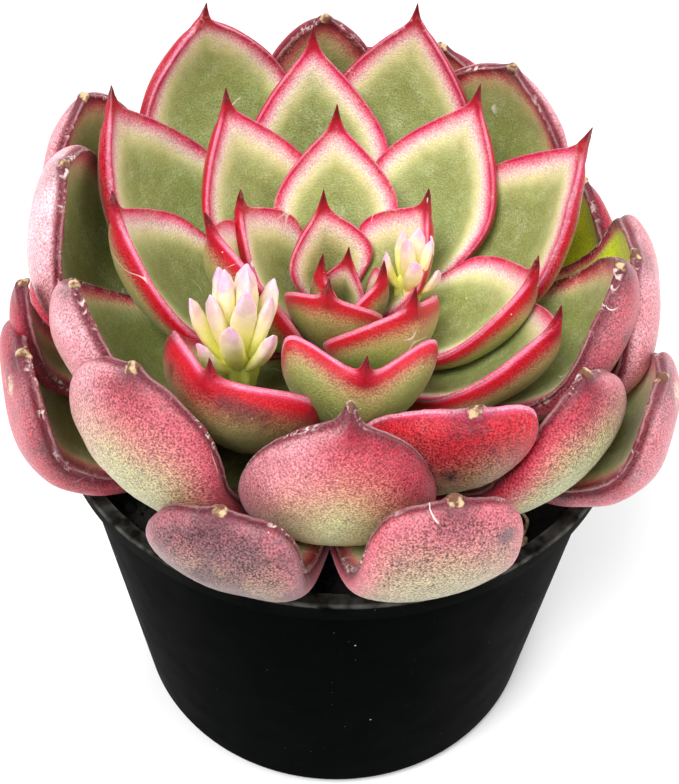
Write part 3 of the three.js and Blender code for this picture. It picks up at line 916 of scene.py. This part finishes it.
@dataclass(frozen=True)
class Stray:
    """How one leaf strays from the even spiral: degrees, mm and a share of width."""

    turn: float = 0
    reach: float = 0
    lift: float = 0
    cup: float = 0
    roll: float = 0
    sag: float = 0
    width: float = 1
    bulge: float = 0
    blunt: float = 0
    lobe: float = 0
    skew: float = 0
    bend: float = 0
    blush: float = 1
    dusk: float = 0
    # painted glow: a bright lime patch on the face
    painted_glow: float = 0
    # powder with a painted highlight of the bright edges, and the side where the painted highlight lies
    powder_and_highlight: float = 0
    highlight_side: float = 0
    # painted shade: how much the skin darkens away from the margin
    painted_shade: float = 0
    fresh: float = 0
    bruises: tuple[Spot, ...] = ()
    scars: tuple[Spot, ...] = ()


@dataclass(frozen=True)
class Age:
    """What a leaf's age decides: where it leaves the stem, its bends and its section."""

    base: float
    foot_reach: float
    foot_rise: float
    belly_rise: float
    keel: float
    edge: float
    cup: float
    widest: float
    shoulder: float
    plump: float
    flank: float
    face_reach: float
    face_tip_reach: float
    back_reach: float
    back_tip_reach: float

    def towards(self, other: "Age", share: float) -> "Age":
        """An age between this one and another."""
        pairs = zip(vars(self).values(), vars(other).values())
        return Age(*(lerp(low, high, share) for low, high in pairs))


@dataclass(frozen=True)
class Stem:
    """Short thick stem, straight to its shoulder and then narrowing to the top."""

    radius: float = 4.2
    tip_radius: float = 1.2
    root: float = 14.0
    top: float = 15.0
    shoulder: float = 10.0
    sides: int = 48
    scar_spacing: float = 1.1
    scar_depth: float = 0.12

    def radius_at(self, height: Array | float) -> Array | float:
        """Radius at a height over the rim."""
        return lerp(self.tip_radius, self.radius, smoothstep(-height, -self.top, -self.shoulder))

    def surface(self) -> Surface:
        """A turned skin ringed with the scars of shed leaves."""
        height = np.linspace(-self.root, self.top, 120)
        scars = self.scar_depth * np.sin(height * 2 * math.pi / self.scar_spacing)
        line = np.stack([self.radius_at(height) + scars - self.scar_depth, height], -1)
        ends = np.array([[[0, -self.root]], [[0, self.top + self.tip_radius / 2]]])
        return turned_surface(np.concatenate([ends[0], line, ends[1]]), self.sides)


@dataclass(frozen=True)
class Rosette:
    """The golden-angle spiral of leaves: leaf 1 is the youngest, at the heart."""

    rim_height: float
    stem: Stem = Stem()
    leaf_count: int = 44
    oldest_green: int = 18
    shed: tuple[int, ...] = (42,)
    first_azimuth: float = 285.2
    shift: float = -1.0
    lean_front: float = 0.146
    lean_right: float = 0.045
    first_withered: int = 21
    kept_spines: tuple[int, ...] = (22, 25)
    dry_spines: tuple[int, ...] = (26,)
    youngest: Age = Age(
        base=15.0, foot_reach=0.5, foot_rise=0.28, belly_rise=0.6, keel=1.5, edge=0.45, cup=0.42,
        widest=0.55, shoulder=1.2, plump=1.0, flank=0.06,
        face_reach=5.0, face_tip_reach=7.0, back_reach=2.8, back_tip_reach=7.0,
    )
    oldest: Age = Age(
        base=1.0, foot_reach=0.9, foot_rise=0.06, belly_rise=0.25, keel=2.4, edge=0.7, cup=0.12,
        widest=0.66, shoulder=0.75, plump=0.55, flank=0.28,
        face_reach=3.6, face_tip_reach=6.0, back_reach=6.6, back_tip_reach=10.0,
    )
    path: tuple[Stop, ...] = (
        Stop(0, -1.5, 26, 0, 3),
        Stop(4, 8.3, 32, 0, 11),
        Stop(9, 20, 38, 0, 16.5),
        Stop(15, 31.4, 41, -1, 19.5),
        Stop(20, 35.8, 42, 0, 22),
        Stop(24, 38.2, 41, 6, 25),
        Stop(30, 39.8, 38, 8, 27),
        Stop(38, 46, 31.5, 4, 21),
        Stop(46, 48.7, 27, 2, 21),
    )

    def numbers(self) -> list[int]:
        """Numbers of the leaves that are still on the plant."""
        return [leaf for leaf in range(1, self.leaf_count + 1) if leaf not in self.shed]

    def even(self, leaf: int) -> dict[str, float]:
        """Sizes of a leaf on the even spiral, read between the stated ones."""
        stated = [stop.leaf for stop in self.path]
        return {
            size: float(np.interp(leaf, stated, [getattr(stop, size) for stop in self.path]))
            for size in ("radius", "height", "bulge", "width")
        }

    def placed(self, points: Array) -> Array:
        """Points on the rosette's own axes, leaned and shifted to its place over the rim."""
        front, right = self.lean_front, self.lean_right
        about_x = np.array([
            [1, 0, 0], [0, math.cos(front), -math.sin(front)], [0, math.sin(front), math.cos(front)],
        ])
        about_y = np.array([
            [math.cos(right), 0, math.sin(right)], [0, 1, 0], [-math.sin(right), 0, math.cos(right)],
        ])
        return points @ (about_x @ about_y).T + np.array([self.shift, 0, self.rim_height])

    def build(self, young: LeafSkin, old: LeafSkin, wood: PlantFibre) -> None:
        """Makes the stem and every leaf."""
        skin = self.stem.surface()
        skin.points = self.placed(skin.points)
        settle(skin.piece("stem_core", wood.material()), "stem", "stem")
        skins = {True: (young.material(), "young_leaf"), False: (old.material(), "old_leaf")}
        for number in self.numbers():
            material, slot = skins[number <= self.oldest_green]
            leaf = Leaf(number, self, STRAYS.get(number, Stray()))
            node = f"leaf_{number:02d}"
            settle(leaf.surface().piece(f"{node}_blade", material), slot, node)


STRAYS: dict[int, Stray] = {
    # painted_shade darkens the heart leaves 1 to 5 and the lower parts of some older leaves.
    1: Stray(lift=0.8, painted_shade=0.8),
    2: Stray(lift=-0.3, painted_shade=0.7),
    3: Stray(turn=-3, lift=-1, painted_shade=0.5),
    4: Stray(lift=0.8, painted_shade=0.3),
    5: Stray(turn=4, lift=0.7, painted_shade=0.2),
    6: Stray(lift=0.6),
    7: Stray(lift=0.5),
    8: Stray(turn=-4, reach=-1, lift=0.6),
    9: Stray(turn=13),
    10: Stray(turn=-16, reach=-1.2, lift=4.7, bulge=-5),
    11: Stray(turn=-15, reach=2.5, lift=-1.5),
    12: Stray(turn=-1, lift=1.7),
    13: Stray(
        turn=1, reach=1, lift=0.6, cup=0.35, width=0.94, blunt=0.75, lobe=5.4, skew=-1,
        painted_shade=0.12,
    ),
    14: Stray(lift=0.4),
    15: Stray(lift=1.2),
    16: Stray(lift=-1.6),
    17: Stray(turn=-3, lift=0.6, painted_shade=0.2),
    18: Stray(
        reach=0.4, lift=-0.9, cup=0.3, width=0.93, blunt=0.7, lobe=1, skew=-0.4,
        blush=1.4, dusk=0.4, painted_shade=0.28, bruises=(Spot(0.75, -0.2, 2.2),),
    ),
    19: Stray(lift=2, bulge=-4.5, fresh=0.9),
    20: Stray(reach=1, lift=1.4, fresh=0.8),
    # Leaf 21's dark spot near its tip, listed with the bruises, is painted shadow.
    21: Stray(
        turn=-8, lift=-3.2, roll=-20, width=0.82, blunt=0.8, lobe=2.6, skew=2.6, bend=5.6,
        blush=1.7, dusk=0.15, painted_shade=0.3, fresh=0.85, bruises=(Spot(0.85, 0.0, 2.0),),
    ),
    22: Stray(turn=4, lift=3.4, fresh=0.7),
    23: Stray(reach=1, lift=-0.8, width=0.95, lobe=0.8, blush=1.6, powder_and_highlight=0.3),
    24: Stray(
        turn=-5, reach=-2, width=0.95, lobe=1.5,
        blush=1.7, dusk=0.3, powder_and_highlight=0.08, bruises=(Spot(0.85, -0.3, 2.4),),
    ),
    25: Stray(turn=-1, reach=1.7, lift=3.6, fresh=0.7),
    26: Stray(
        turn=7.3, reach=-1.5, lift=3.4, sag=7.4, width=0.8, blunt=0.15, bend=0.8,
        blush=1.5, painted_shade=0.06, powder_and_highlight=0.22, highlight_side=-1,
    ),
    27: Stray(turn=12, reach=-1, lift=-0.6, blush=1.3, powder_and_highlight=0.3),
    28: Stray(
        reach=-1.3, lift=1.4, bulge=1.5, width=0.95, lobe=1, blush=1.9, dusk=0.1, powder_and_highlight=0.48
    ),
    29: Stray(
        turn=0.9, lift=-0.6, sag=2.6, width=0.83, blunt=-0.3, bend=1.3,
        blush=0.95, painted_shade=0.34, powder_and_highlight=0.2, highlight_side=1,
    ),
    30: Stray(turn=4, lift=0.8, width=0.72, blunt=-0.5),
    31: Stray(
        turn=6.4, reach=-1.4, lift=2, sag=4, width=0.82, skew=0.5, bend=-4.2,
        blush=1.15, painted_shade=0.22, powder_and_highlight=0.28, highlight_side=-0.8,
        scars=(Spot(0.75, -0.85, 1.7), Spot(0.68, -0.9, 1.2)),
    ),
    32: Stray(turn=-12, reach=-2, lift=-1.6, lobe=2, blush=1.6, painted_glow=1, powder_and_highlight=0.25),
    33: Stray(turn=8, reach=1, lift=1.5, width=0.85, blunt=-0.5, powder_and_highlight=0.28),
    34: Stray(
        turn=1.4, reach=2, lift=-1, cup=-0.1, sag=1, width=0.74, lobe=3, skew=-0.5, bend=2.4,
        blush=0.95, dusk=0.3, painted_shade=0.4, powder_and_highlight=0.12, bruises=(Spot(0.9, 0.6, 2.2),),
    ),
    35: Stray(turn=11, lift=-0.8, width=0.8),
    36: Stray(reach=-0.5, lift=0.4, width=0.36),
    37: Stray(
        turn=-3.5, reach=1, lift=-0.6, roll=12, width=0.81, lobe=1.5,
        blush=1.6, dusk=0.5, powder_and_highlight=0.18, scars=(Spot(0.95, 0.1, 2.0),),
    ),
    38: Stray(lift=-9),
    39: Stray(
        turn=3.7, reach=-0.6, lift=-1.4, sag=-2, width=0.86, lobe=2, skew=1.2, bend=-1.8,
        blush=0.95, dusk=1.1, painted_shade=0.5, powder_and_highlight=0.1,
        bruises=(Spot(0.65, 0.3, 3.0), Spot(0.85, -0.1, 2.4)),
    ),
    40: Stray(turn=2.5, reach=-4.5, lift=-5.5, painted_glow=0.9),
    41: Stray(reach=-3.1, lift=-12),
    43: Stray(reach=-0.6),
    44: Stray(
        turn=-11, reach=-1.6, lift=0.7, roll=-10, width=0.84, bulge=-1.5, lobe=2, skew=-1,
        blush=1.6, dusk=0.5, powder_and_highlight=0.08, scars=(Spot(0.95, 0.1, 2.0),),
    ),
}


@dataclass(frozen=True)
class Leaf:
    """One thick leaf: a hollow face and a round back on a curved midrib."""

    number: int
    rosette: Rosette
    stray: Stray
    full_depth: float = 5.0
    full_width: float = 16.0
    base_width: float = 0.24
    base_depth: float = 0.45
    row_step: float = 0.62
    fine_step: float = 0.1
    curve_points: int = 400
    face_columns: int = 21
    back_columns: int = 29
    edge_columns: int = 3

    @property
    def share_of_age(self) -> float:
        """0 at the heart, 1 at the oldest leaf."""
        return self.number / self.rosette.leaf_count

    @property
    def age(self) -> Age:
        """Everything that follows from the leaf's age."""
        return self.rosette.youngest.towards(self.rosette.oldest, self.share_of_age)

    @property
    def tip(self) -> Tip:
        """A living spine, a dried one, or the stub that withering leaves."""
        if self.number in self.rosette.dry_spines:
            return Tip.DRY_SPINE
        kept = self.number < self.rosette.first_withered or self.number in self.rosette.kept_spines
        return Tip.SPINE if kept else Tip.STUB

    @property
    def blunt(self) -> float:
        """0 for a pointed leaf, 1 for a blunt one."""
        return float(np.clip(smoothstep(self.number, 20, 34) + self.stray.blunt, 0, 1))

    def anchors(self) -> Array:
        """The four [radius, height] points of the midrib's cubic curve."""
        size, age, stray = self.rosette.even(self.number), self.age, self.stray
        radius = size["radius"] + stray.reach
        height = size["height"] + stray.lift
        foot = self.rosette.stem.radius_at(age.base) + 0.3
        rise = height - age.base
        return np.array([
            [foot, age.base],
            [lerp(foot, radius, age.foot_reach), age.base + rise * age.foot_rise - stray.sag],
            [radius + size["bulge"] + stray.bulge, age.base + rise * age.belly_rise - stray.sag],
            [radius, height],
        ])

    def midrib(self) -> tuple[Array, Array, Array]:
        """Even fine steps along the midrib.

        The curve is the sum of its anchors weighted (1-t)^3, 3t(1-t)^2, 3t^2(1-t) and
        t^3, then read again at even distances.

        Returns:
            Distances from the foot, places and directions, as [radius, height].
        """
        share = np.linspace(0, 1, self.curve_points)[:, None]
        rest = 1 - share
        weights = [rest ** 3, 3 * share * rest ** 2, 3 * share ** 2 * rest, share ** 3]
        curve = np.concatenate(weights, 1) @ self.anchors()
        run = run_of(curve)
        distance = np.linspace(0, run[-1], round(run[-1] / self.fine_step))
        place = read_at(distance, run, curve)
        return distance, place, unit(np.gradient(place, distance, axis=0))

    def outline(self, share: Array) -> Array:
        """Half width of the blade, 0 to 1, at shares of its length.

        It swells as a power of a quarter sine to the widest place, and from there
        falls as 1 minus a power of the way to the end, rounder for a blunt leaf.
        """
        widest = lerp(self.age.widest, 0.7, self.blunt)
        swell = np.sin(math.pi / 2 * np.clip(share / widest, 0, 1)) ** self.age.shoulder
        way = np.clip((share - widest) / (1 - widest), 0, 1)
        close = (1 - way ** lerp(1.7, 3.2, self.blunt)) ** lerp(1, 0.52, self.blunt)
        return np.where(share < widest, lerp(self.base_width, 1, swell), close)

    def section(self) -> dict[str, Array]:
        """Columns round the leaf: across the face, round one edge, back, round the other.

        Returns:
            For each column: side from -1 to 1, how far it stands out and up on the
            rounded edge, whether it hangs on the back, and how much it belongs there.
        """
        face = np.sin(math.pi / 2 * np.linspace(-1, 1, self.face_columns))
        back = np.sin(math.pi / 2 * np.linspace(1, -1, self.back_columns))
        turn = np.linspace(math.pi / 2, -math.pi / 2, self.edge_columns + 2)[1:-1]
        ones = np.ones(self.edge_columns)
        return {
            "side": np.concatenate([face, ones, back, -ones]),
            "out": np.concatenate([0 * face, np.cos(turn), 0 * back, -np.cos(turn)]),
            "up": np.concatenate([0 * face + 1, np.sin(turn), 0 * back - 1, -np.sin(turn)]),
            "hangs": np.concatenate([0 * face, 0 * ones, 0 * back + 1, 0 * ones]),
            "back": np.concatenate([0 * face, (1 - np.sin(turn)) / 2, 0 * back + 1, (1 + np.sin(turn)) / 2]),
        }

    def surface(self) -> Surface:
        """The leaf's skin.

        Each ring lies square to the midrib: its face rises with the square of the
        side, and its back hangs below by the thickness times a rounded power of the
        side. The tip is a narrow cone, and the blade runs into it in a curve.

        Returns:
            The skin on the object's axes, with the values that the finish reads.
        """
        age, stray, column = self.age, self.stray, self.section()
        distance, place, along = self.midrib()
        length = distance[-1]
        tip_length, tip_root, tip_point = self.tip.value
        to_end = length - distance
        share = distance / (length - tip_length)
        cone = lerp(tip_point, tip_root, np.clip(to_end / tip_length, 0, 1) ** 1.3)
        width = self.rosette.even(self.number)["width"] * stray.width
        half = self.eased(width / 2 * self.outline(share)) + cone
        depth = self.full_depth * min(1, width / self.full_width)
        fullness = np.clip(1 - share ** lerp(3, 6, self.blunt), 0, 1) ** 0.5
        body = fullness * lerp(self.base_depth, 1, smoothstep(share, 0, 0.4))
        thick = np.maximum(cone, depth * self.eased(body))
        cup = (age.cup + stray.cup) * (half - cone) * smoothstep(share, -0.1, 0.5)
        edge = np.minimum(age.edge / 2, cone * 0.6)
        closing = np.sqrt(np.clip(1 - (1 - to_end / 0.5).clip(0) ** 2, 0.02, 1))
        half, thick, cup, edge = half * closing, thick * closing, cup * closing, edge * closing

        rows = np.unique(self.rows(length, len(distance)))
        distance, place, along, share, to_end = (
            line[rows] for line in (distance, place, along, share, to_end)
        )
        half, thick, cup, edge = (line[rows, None] for line in (half, thick, cup, edge))

        azimuth = math.radians(
            self.rosette.first_azimuth + GOLDEN_TURN * self.number + stray.turn
        )
        outward = np.array([math.cos(azimuth), math.sin(azimuth), 0])
        level = np.array([-outward[1], outward[0], 0])
        upright = np.array([0, 0, 1])
        ahead = along[:, :1] * outward + along[:, 1:] * upright
        roll = math.radians(stray.roll) * smoothstep(share, 0.2, 1)[:, None]
        sideways = level * np.cos(roll) + np.cross(ahead, level) * np.sin(roll)
        inward = np.cross(ahead, sideways)
        centre = place[:, :1] * outward + place[:, 1:] * upright
        centre = centre + level * stray.bend * (distance / length)[:, None] ** 2

        side, hangs = column["side"], column["hangs"]
        flank = 1 + 2 * age.flank * np.sqrt(1 - side ** 2) * hangs
        reach = side * (half - edge) * flank + column["out"] * edge
        hollow = cup * side ** 2 + column["up"] * edge
        belly = thick * (1 - np.abs(side) ** age.keel) ** age.plump * hangs
        over = reach / (width / 2)
        past = (stray.lobe * over ** 2 + stray.skew * over) * smoothstep(share, 0.3, 0.8)[:, None]
        rings = (
            centre[:, None]
            + sideways[:, None] * reach[..., None]
            + inward[:, None] * (hollow - belly)[..., None]
            + ahead[:, None] * past[..., None]
        )
        rim = np.where(hangs, self.from_margin(rings), (1 - np.abs(side)) * (half - edge))
        values = self.zones(rim, np.hypot(to_end[:, None], reach), share[:, None], side)
        values["back"] = np.broadcast_to(column["back"], reach.shape)
        values["bruise"] = self.marked(rings, share, stray.bruises)
        values["scar"] = self.marked(rings, share, stray.scars)
        rings = rings + inward[:, None] * self.unevenness(rings, values)[..., None]
        skin = ring_surface(rings, rings[[0, -1]].mean(1), values)
        skin.points = self.rosette.placed(skin.points)
        return skin

    def from_margin(self, rings: Array) -> Array:
        """How far each point lies from the nearer margin, measured over the back."""
        first = self.face_columns + self.edge_columns
        over = rings[:, first:first + self.back_columns]
        run = np.concatenate([
            np.zeros((len(rings), 1)), np.cumsum(np.linalg.norm(np.diff(over, axis=1), axis=2), 1),
        ], 1)
        distance = np.zeros(rings.shape[:2])
        distance[:, first:first + self.back_columns] = np.minimum(run, run[:, -1:] - run)
        return distance

    def marked(self, rings: Array, share: Array, spots: tuple[Spot, ...]) -> Array:
        """1 in the middle of each spot on the back, falling smoothly to 0 at its radius."""
        shown = np.zeros(rings.shape[:2])
        first = self.face_columns + self.edge_columns
        sides = self.section()["side"][first:first + self.back_columns]
        for spot in spots:
            row = np.abs(share - spot.share).argmin()
            middle = rings[row, first + np.abs(sides - spot.side).argmin()]
            away = np.linalg.norm(rings - middle, axis=-1)
            shown = np.maximum(shown, smoothstep(away, spot.radius, 0.25 * spot.radius))
        return shown

    def rows(self, length: float, count: int) -> Array:
        """Which of the fine steps become rings: closer together towards the tip."""
        rings = round(length / self.row_step)
        return np.round(np.sin(math.pi / 2 * np.linspace(0, 1, rings)) * (count - 1)).astype(int)

    def eased(self, line: Array, reach: float = 1.0) -> Array:
        """A line of sizes along the midrib with its corners eased over a reach in mm."""
        steps = round(3 * reach / self.fine_step)
        weight = np.exp(-(np.arange(-steps, steps + 1) * self.fine_step / reach) ** 2)
        padded = np.pad(line, steps, mode="reflect", reflect_type="odd")
        return np.convolve(padded, weight / weight.sum(), "valid").clip(0)

    def zones(self, rim: Array, tip: Array, share: Array, side: Array) -> dict[str, Array]:
        """What the finish reads: distances to the margin and tip, and the blush's reaches.

        Args:
            rim: Distance to the margin, in mm.
            tip: Distance to the tip, in mm.
            share: Share of the blade's length.
            side: Place across the blade, -1 to 1.

        Returns:
            The named values, one for each ring point.
        """
        age = self.age
        whole = np.ones(rim.shape)
        # Painted highlight: the powder_and_highlight value is heavier on one side of the leaf, where its
        # edge is lit.
        lean = self.stray.highlight_side
        one_side = lerp(1, smoothstep(side * np.sign(lean), -0.1, 0.8), abs(lean))
        return {
            "rim": rim,
            "tip": tip,
            "face_reach": (
                age.face_reach * lerp(0.4, 1, smoothstep(self.number, 0, 6))
                * lerp(0.5, 1.3, smoothstep(share, 0.2, 0.95)) * whole
            ),
            "face_tip_reach": age.face_tip_reach * whole,
            "back_reach": age.back_reach * self.stray.blush * whole,
            "back_tip_reach": age.back_tip_reach * self.stray.blush * whole,
            "dry": whole * (self.tip is not Tip.SPINE),
            "dusk": whole * self.stray.dusk,
            "painted_glow": whole * self.stray.painted_glow,
            "powder_and_highlight": self.stray.powder_and_highlight * one_side * lerp(0.8, 1.7, smoothstep(share, 0.5, 0.95)) * whole,
            "painted_shade": whole * self.stray.painted_shade,
            "fresh": whole * self.stray.fresh,
        }

    def unevenness(self, rings: Array, values: dict[str, Array]) -> Array:
        """Lift of each point, in mm: slow dents, corky margins and a lumpy dry stub."""
        margin = smoothstep(values["rim"], 0.8, 0.1)
        end = smoothstep(values["tip"], 2.0, 1.2)
        slow = 0.22 * self.share_of_age * ripple(rings, 9, self.number)
        corky = 0.08 * self.share_of_age * margin * ripple(rings, 1.3, self.number + 60)
        stub = 0.16 * values["dry"] * end * ripple(rings, 1.5, self.number + 90)
        return slow + corky + stub


@dataclass(frozen=True)
class BudHead:
    """A head of fleshy bud bracts round a thick ridged stalk, on the rosette's own axes."""

    node: str
    foot: tuple[float, float, float]
    length: float
    girth: float
    bracts: int
    spread: float
    turn: float
    stalk: float
    ridges: int = 7
    ridge_depth: float = 0.2
    bract_rings: int = 26
    bract_sides: int = 20
    column_rings: int = 30
    column_sides: int = 56
    swelling: tuple[tuple[float, ...], ...] = (
        (0, 0.2, 0.45, 0.7, 0.88, 1),
        (0.55, 0.8, 0.98, 0.95, 0.66, 0.12),
    )

    def bract(self, index: int) -> Surface:
        """One bract: a long pointed drop, flattened, ruffled at the end and bent a little inward.

        All rise from the stalk; the first is tall and upright, and the later ones
        start further out, lean more and are shorter.
        """
        share = index / (self.bracts - 1)
        lean = math.radians(lerp(3, self.spread, share))
        around = math.radians(self.turn + GOLDEN_TURN * index)
        length = self.length * lerp(1.05, 0.66, share)
        girth = self.girth * lerp(1.1, 0.85, share)
        along = np.linspace(0, 1, self.bract_rings)[:, None]
        swell = girth / 2 * np.interp(along, *self.swelling)
        angle = once_round(self.bract_sides)
        out = np.array([math.cos(around), math.sin(around), 0])
        direction = math.sin(lean) * out + math.cos(lean) * np.array([0, 0, 1])
        level = np.array([-out[1], out[0], 0])
        outer = np.cross(level, direction)
        start = np.array(self.foot) + out * self.stalk * lerp(0.1, 0.85, share)
        bend = 0.7 * np.sin(math.pi * along) * share
        ruffle = 1 + 0.16 * smoothstep(along, 0.45, 0.9) * np.sin(3 * angle + index + 5 * along)
        across = swell * ruffle * np.cos(angle)
        deep = swell * ruffle * np.sin(angle) * 0.62 + bend
        middle = start + direction * (along * length)[..., None]
        rings = middle + level * across[..., None] + outer * deep[..., None]
        tip = start + direction * length * 1.01
        values = {"along": np.broadcast_to(lerp(0.15, 1, along), across.shape)}
        return ring_surface(rings, np.array([rings[0].mean(0), tip]), values)

    def column(self) -> Surface:
        """The stalk that fills the middle of the head, ridged like a star, rounded on top."""
        share = np.linspace(0, 1, self.column_rings)[:, None]
        angle = once_round(self.column_sides)
        radius = self.stalk * lerp(0.85, 1, smoothstep(share, 0, 0.4)) * np.sqrt(1.02 - share ** 8)
        radius = radius * (1 + self.ridge_depth * np.cos(self.ridges * angle + 2 * share))
        rings = circled(radius, angle, self.length * lerp(-0.3, 0.3, share)) + np.array(self.foot)
        values = {"along": 0.34 * share ** 2 + 0 * angle}
        return ring_surface(rings, rings[[0, -1]].mean(1), values)

    def build(self, rosette: Rosette, material: bpy.types.Material) -> None:
        """Makes the head and puts it in its node's place."""
        skin = joined([self.column()] + [self.bract(index) for index in range(self.bracts)])
        skin.points = rosette.placed(skin.points)
        settle(skin.piece(f"{self.node}_bracts", material), "flower_bud", self.node)


BUD_HEADS = (
    BudHead("flower_buds_left", (-14, -17, 23.5), 17.0, 3.5, 13, 27, 20, 2.4),
    BudHead("flower_buds_right", (9.8, 0.8, 20.5), 11.0, 2.7, 8, 22, 80, 1.9),
)


@dataclass(frozen=True)
class DryRoot:
    """A scrap of dried root on the soil: a knobbly flake and a thin curl."""

    place: tuple[float, float] = (25.0, -30.5)
    turn: float = 20.0
    flake: tuple[float, float, float] = (2.6, 1.5, 0.9)
    curl_radius: float = 0.4
    curl_points: int = 60

    def surface(self, ground: float) -> Surface:
        """The flake and the curl, lying on the soil at a height."""
        ball = ball_rings(0.15, 14, 24)
        ball = ball * (1 + 0.16 * ripple(ball, 0.9, 31))[..., None] * np.array(self.flake) * 0.95
        flake = ring_surface(ball, ball[[0, -1]].mean(1))
        stops = np.array([[-0.5, 0, 0], [2.2, 0.6, 0.3], [4, 2.4, 1.2], [3, 4.4, 2], [1, 4.2, 1.6]])
        share = np.linspace(0, len(stops) - 1, self.curl_points)
        path = read_at(share, np.arange(len(stops)), stops)
        kernel = np.hanning(17) / np.hanning(17).sum()
        padded = np.pad(path, ((8, 8), (0, 0)), mode="reflect", reflect_type="odd")
        path = np.stack([np.convolve(padded[:, axis], kernel, "valid") for axis in range(3)], -1)
        radius = self.curl_radius * lerp(1, 0.45, np.linspace(0, 1, self.curl_points))
        skin = joined([flake, tube_surface(path, radius, 10)])
        spin = np.array(Matrix.Rotation(math.radians(self.turn), 3, "Z"))
        skin.points = skin.points @ spin.T + np.array([*self.place, ground])
        return skin

    def build(self, ground: float, finish: PlantFibre) -> None:
        """Makes the scrap and puts it in its node's place."""
        settle(self.surface(ground).piece("dry_root_scrap", finish.material()), "dry_root", "dry_root")


@dataclass(frozen=True)
class SoftLight:
    """A square area light: where it stands, its side in metres and its power in watts."""

    name: str
    place: tuple[float, float, float]
    side: float
    power: float

    def build(self, target: Vector) -> None:
        """Adds the light, turned to the target."""
        lamp = bpy.data.lights.new(self.name, "AREA")
        lamp.size = self.side
        lamp.energy = self.power
        stand = bpy.data.objects.new(self.name, lamp)
        stand.location = self.place
        stand.rotation_euler = (target - stand.location).to_track_quat("-Z", "Y").to_euler()
        bpy.context.scene.collection.objects.link(stand)


@dataclass(frozen=True)
class Studio:
    """Pale floor, white surroundings, soft lights and the camera."""

    lights: tuple[SoftLight, ...] = (
        SoftLight("key_light", (-0.25, -0.40, 0.80), 0.35, 7.0),
        SoftLight("fill_light", (0.55, -0.20, 0.55), 0.6, 1.8),
        SoftLight("back_light", (0.10, 0.60, 0.60), 0.6, 2.4),
    )
    sky: float = 0.66
    floor_half: float = 3.0
    elevation: float = 44.0
    distance: float = 195.2
    roll: float = 1.45
    focal_pixels: float = 1219.5
    centre_column: float = 340.8
    centre_row: float = 372.6
    sensor: float = 36.0

    def floor(self) -> None:
        """Adds the floor that the pot stands on."""
        half = self.floor_half / MM
        corners = np.array([[-half, -half, 0], [half, -half, 0], [half, half, 0], [-half, half, 0]])
        plane = Surface(corners, [[0, 1, 2, 3]]).piece("floor", FloorPaint().material())

    def camera(self, aim: Vector) -> None:
        """Adds the camera at the photograph's viewing angle, aimed near the rim's centre."""
        tilt = math.radians(self.elevation)
        ahead = Vector((0, math.cos(tilt), -math.sin(tilt)))
        level = Vector((1, 0, 0))
        upright = level.cross(ahead)
        turn = math.radians(self.roll)
        right = math.cos(turn) * level + math.sin(turn) * upright
        up = math.cos(turn) * upright - math.sin(turn) * level
        lens = bpy.data.cameras.new("camera")
        lens.sensor_width = self.sensor
        lens.lens = self.focal_pixels * self.sensor / IMAGE_HEIGHT
        lens.shift_x = (IMAGE_WIDTH / 2 - self.centre_column) / IMAGE_HEIGHT
        lens.shift_y = (self.centre_row - IMAGE_HEIGHT / 2) / IMAGE_HEIGHT
        lens.clip_start = 0.01
        stand = bpy.data.objects.new("camera", lens)
        spot = aim - ahead * self.distance * MM
        stand.matrix_world = Matrix.Translation(spot) @ Matrix((right, up, -ahead)).transposed().to_4x4()
        bpy.context.scene.collection.objects.link(stand)
        bpy.context.scene.camera = stand

    def build(self, aim: Vector) -> None:
        """Adds the floor, the surroundings, the lights and the camera."""
        self.floor()
        world = bpy.data.worlds.new("surroundings")
        world.use_nodes = True
        world.node_tree.nodes["Background"].inputs["Color"].default_value = tint(255, 255, 255)
        world.node_tree.nodes["Background"].inputs["Strength"].default_value = self.sky
        bpy.context.scene.world = world
        for light in self.lights:
            light.build(aim)
        self.camera(aim)
        bpy.context.scene.view_settings.view_transform = "Standard"


def main() -> None:
    """Builds the object's pieces in order, then the studio round them."""
    logging.basicConfig(level=logging.INFO, format="%(name)s: %(message)s")
    pot = Pot.from_frame()
    pot.build(PotPlastic())
    soil = Soil.from_frame(pot)
    soil.build(SoilMix())
    rosette = Rosette(rim_height=pot.height)
    wood = PlantFibre("stem_finish", tint(150, 158, 100), tint(112, 104, 70))
    rosette.build(YOUNG_SKIN, OLD_SKIN, wood)
    buds = BudSkin().material()
    for head in BUD_HEADS:
        head.build(rosette, buds)
    scrap = PlantFibre("dry_root_finish", tint(206, 184, 146), tint(120, 88, 58))
    DryRoot().build(soil.top + 0.3, scrap)
    Studio().build(Vector((0, 0, pot.height * MM)))


if __name__ == "__main__":
    main()
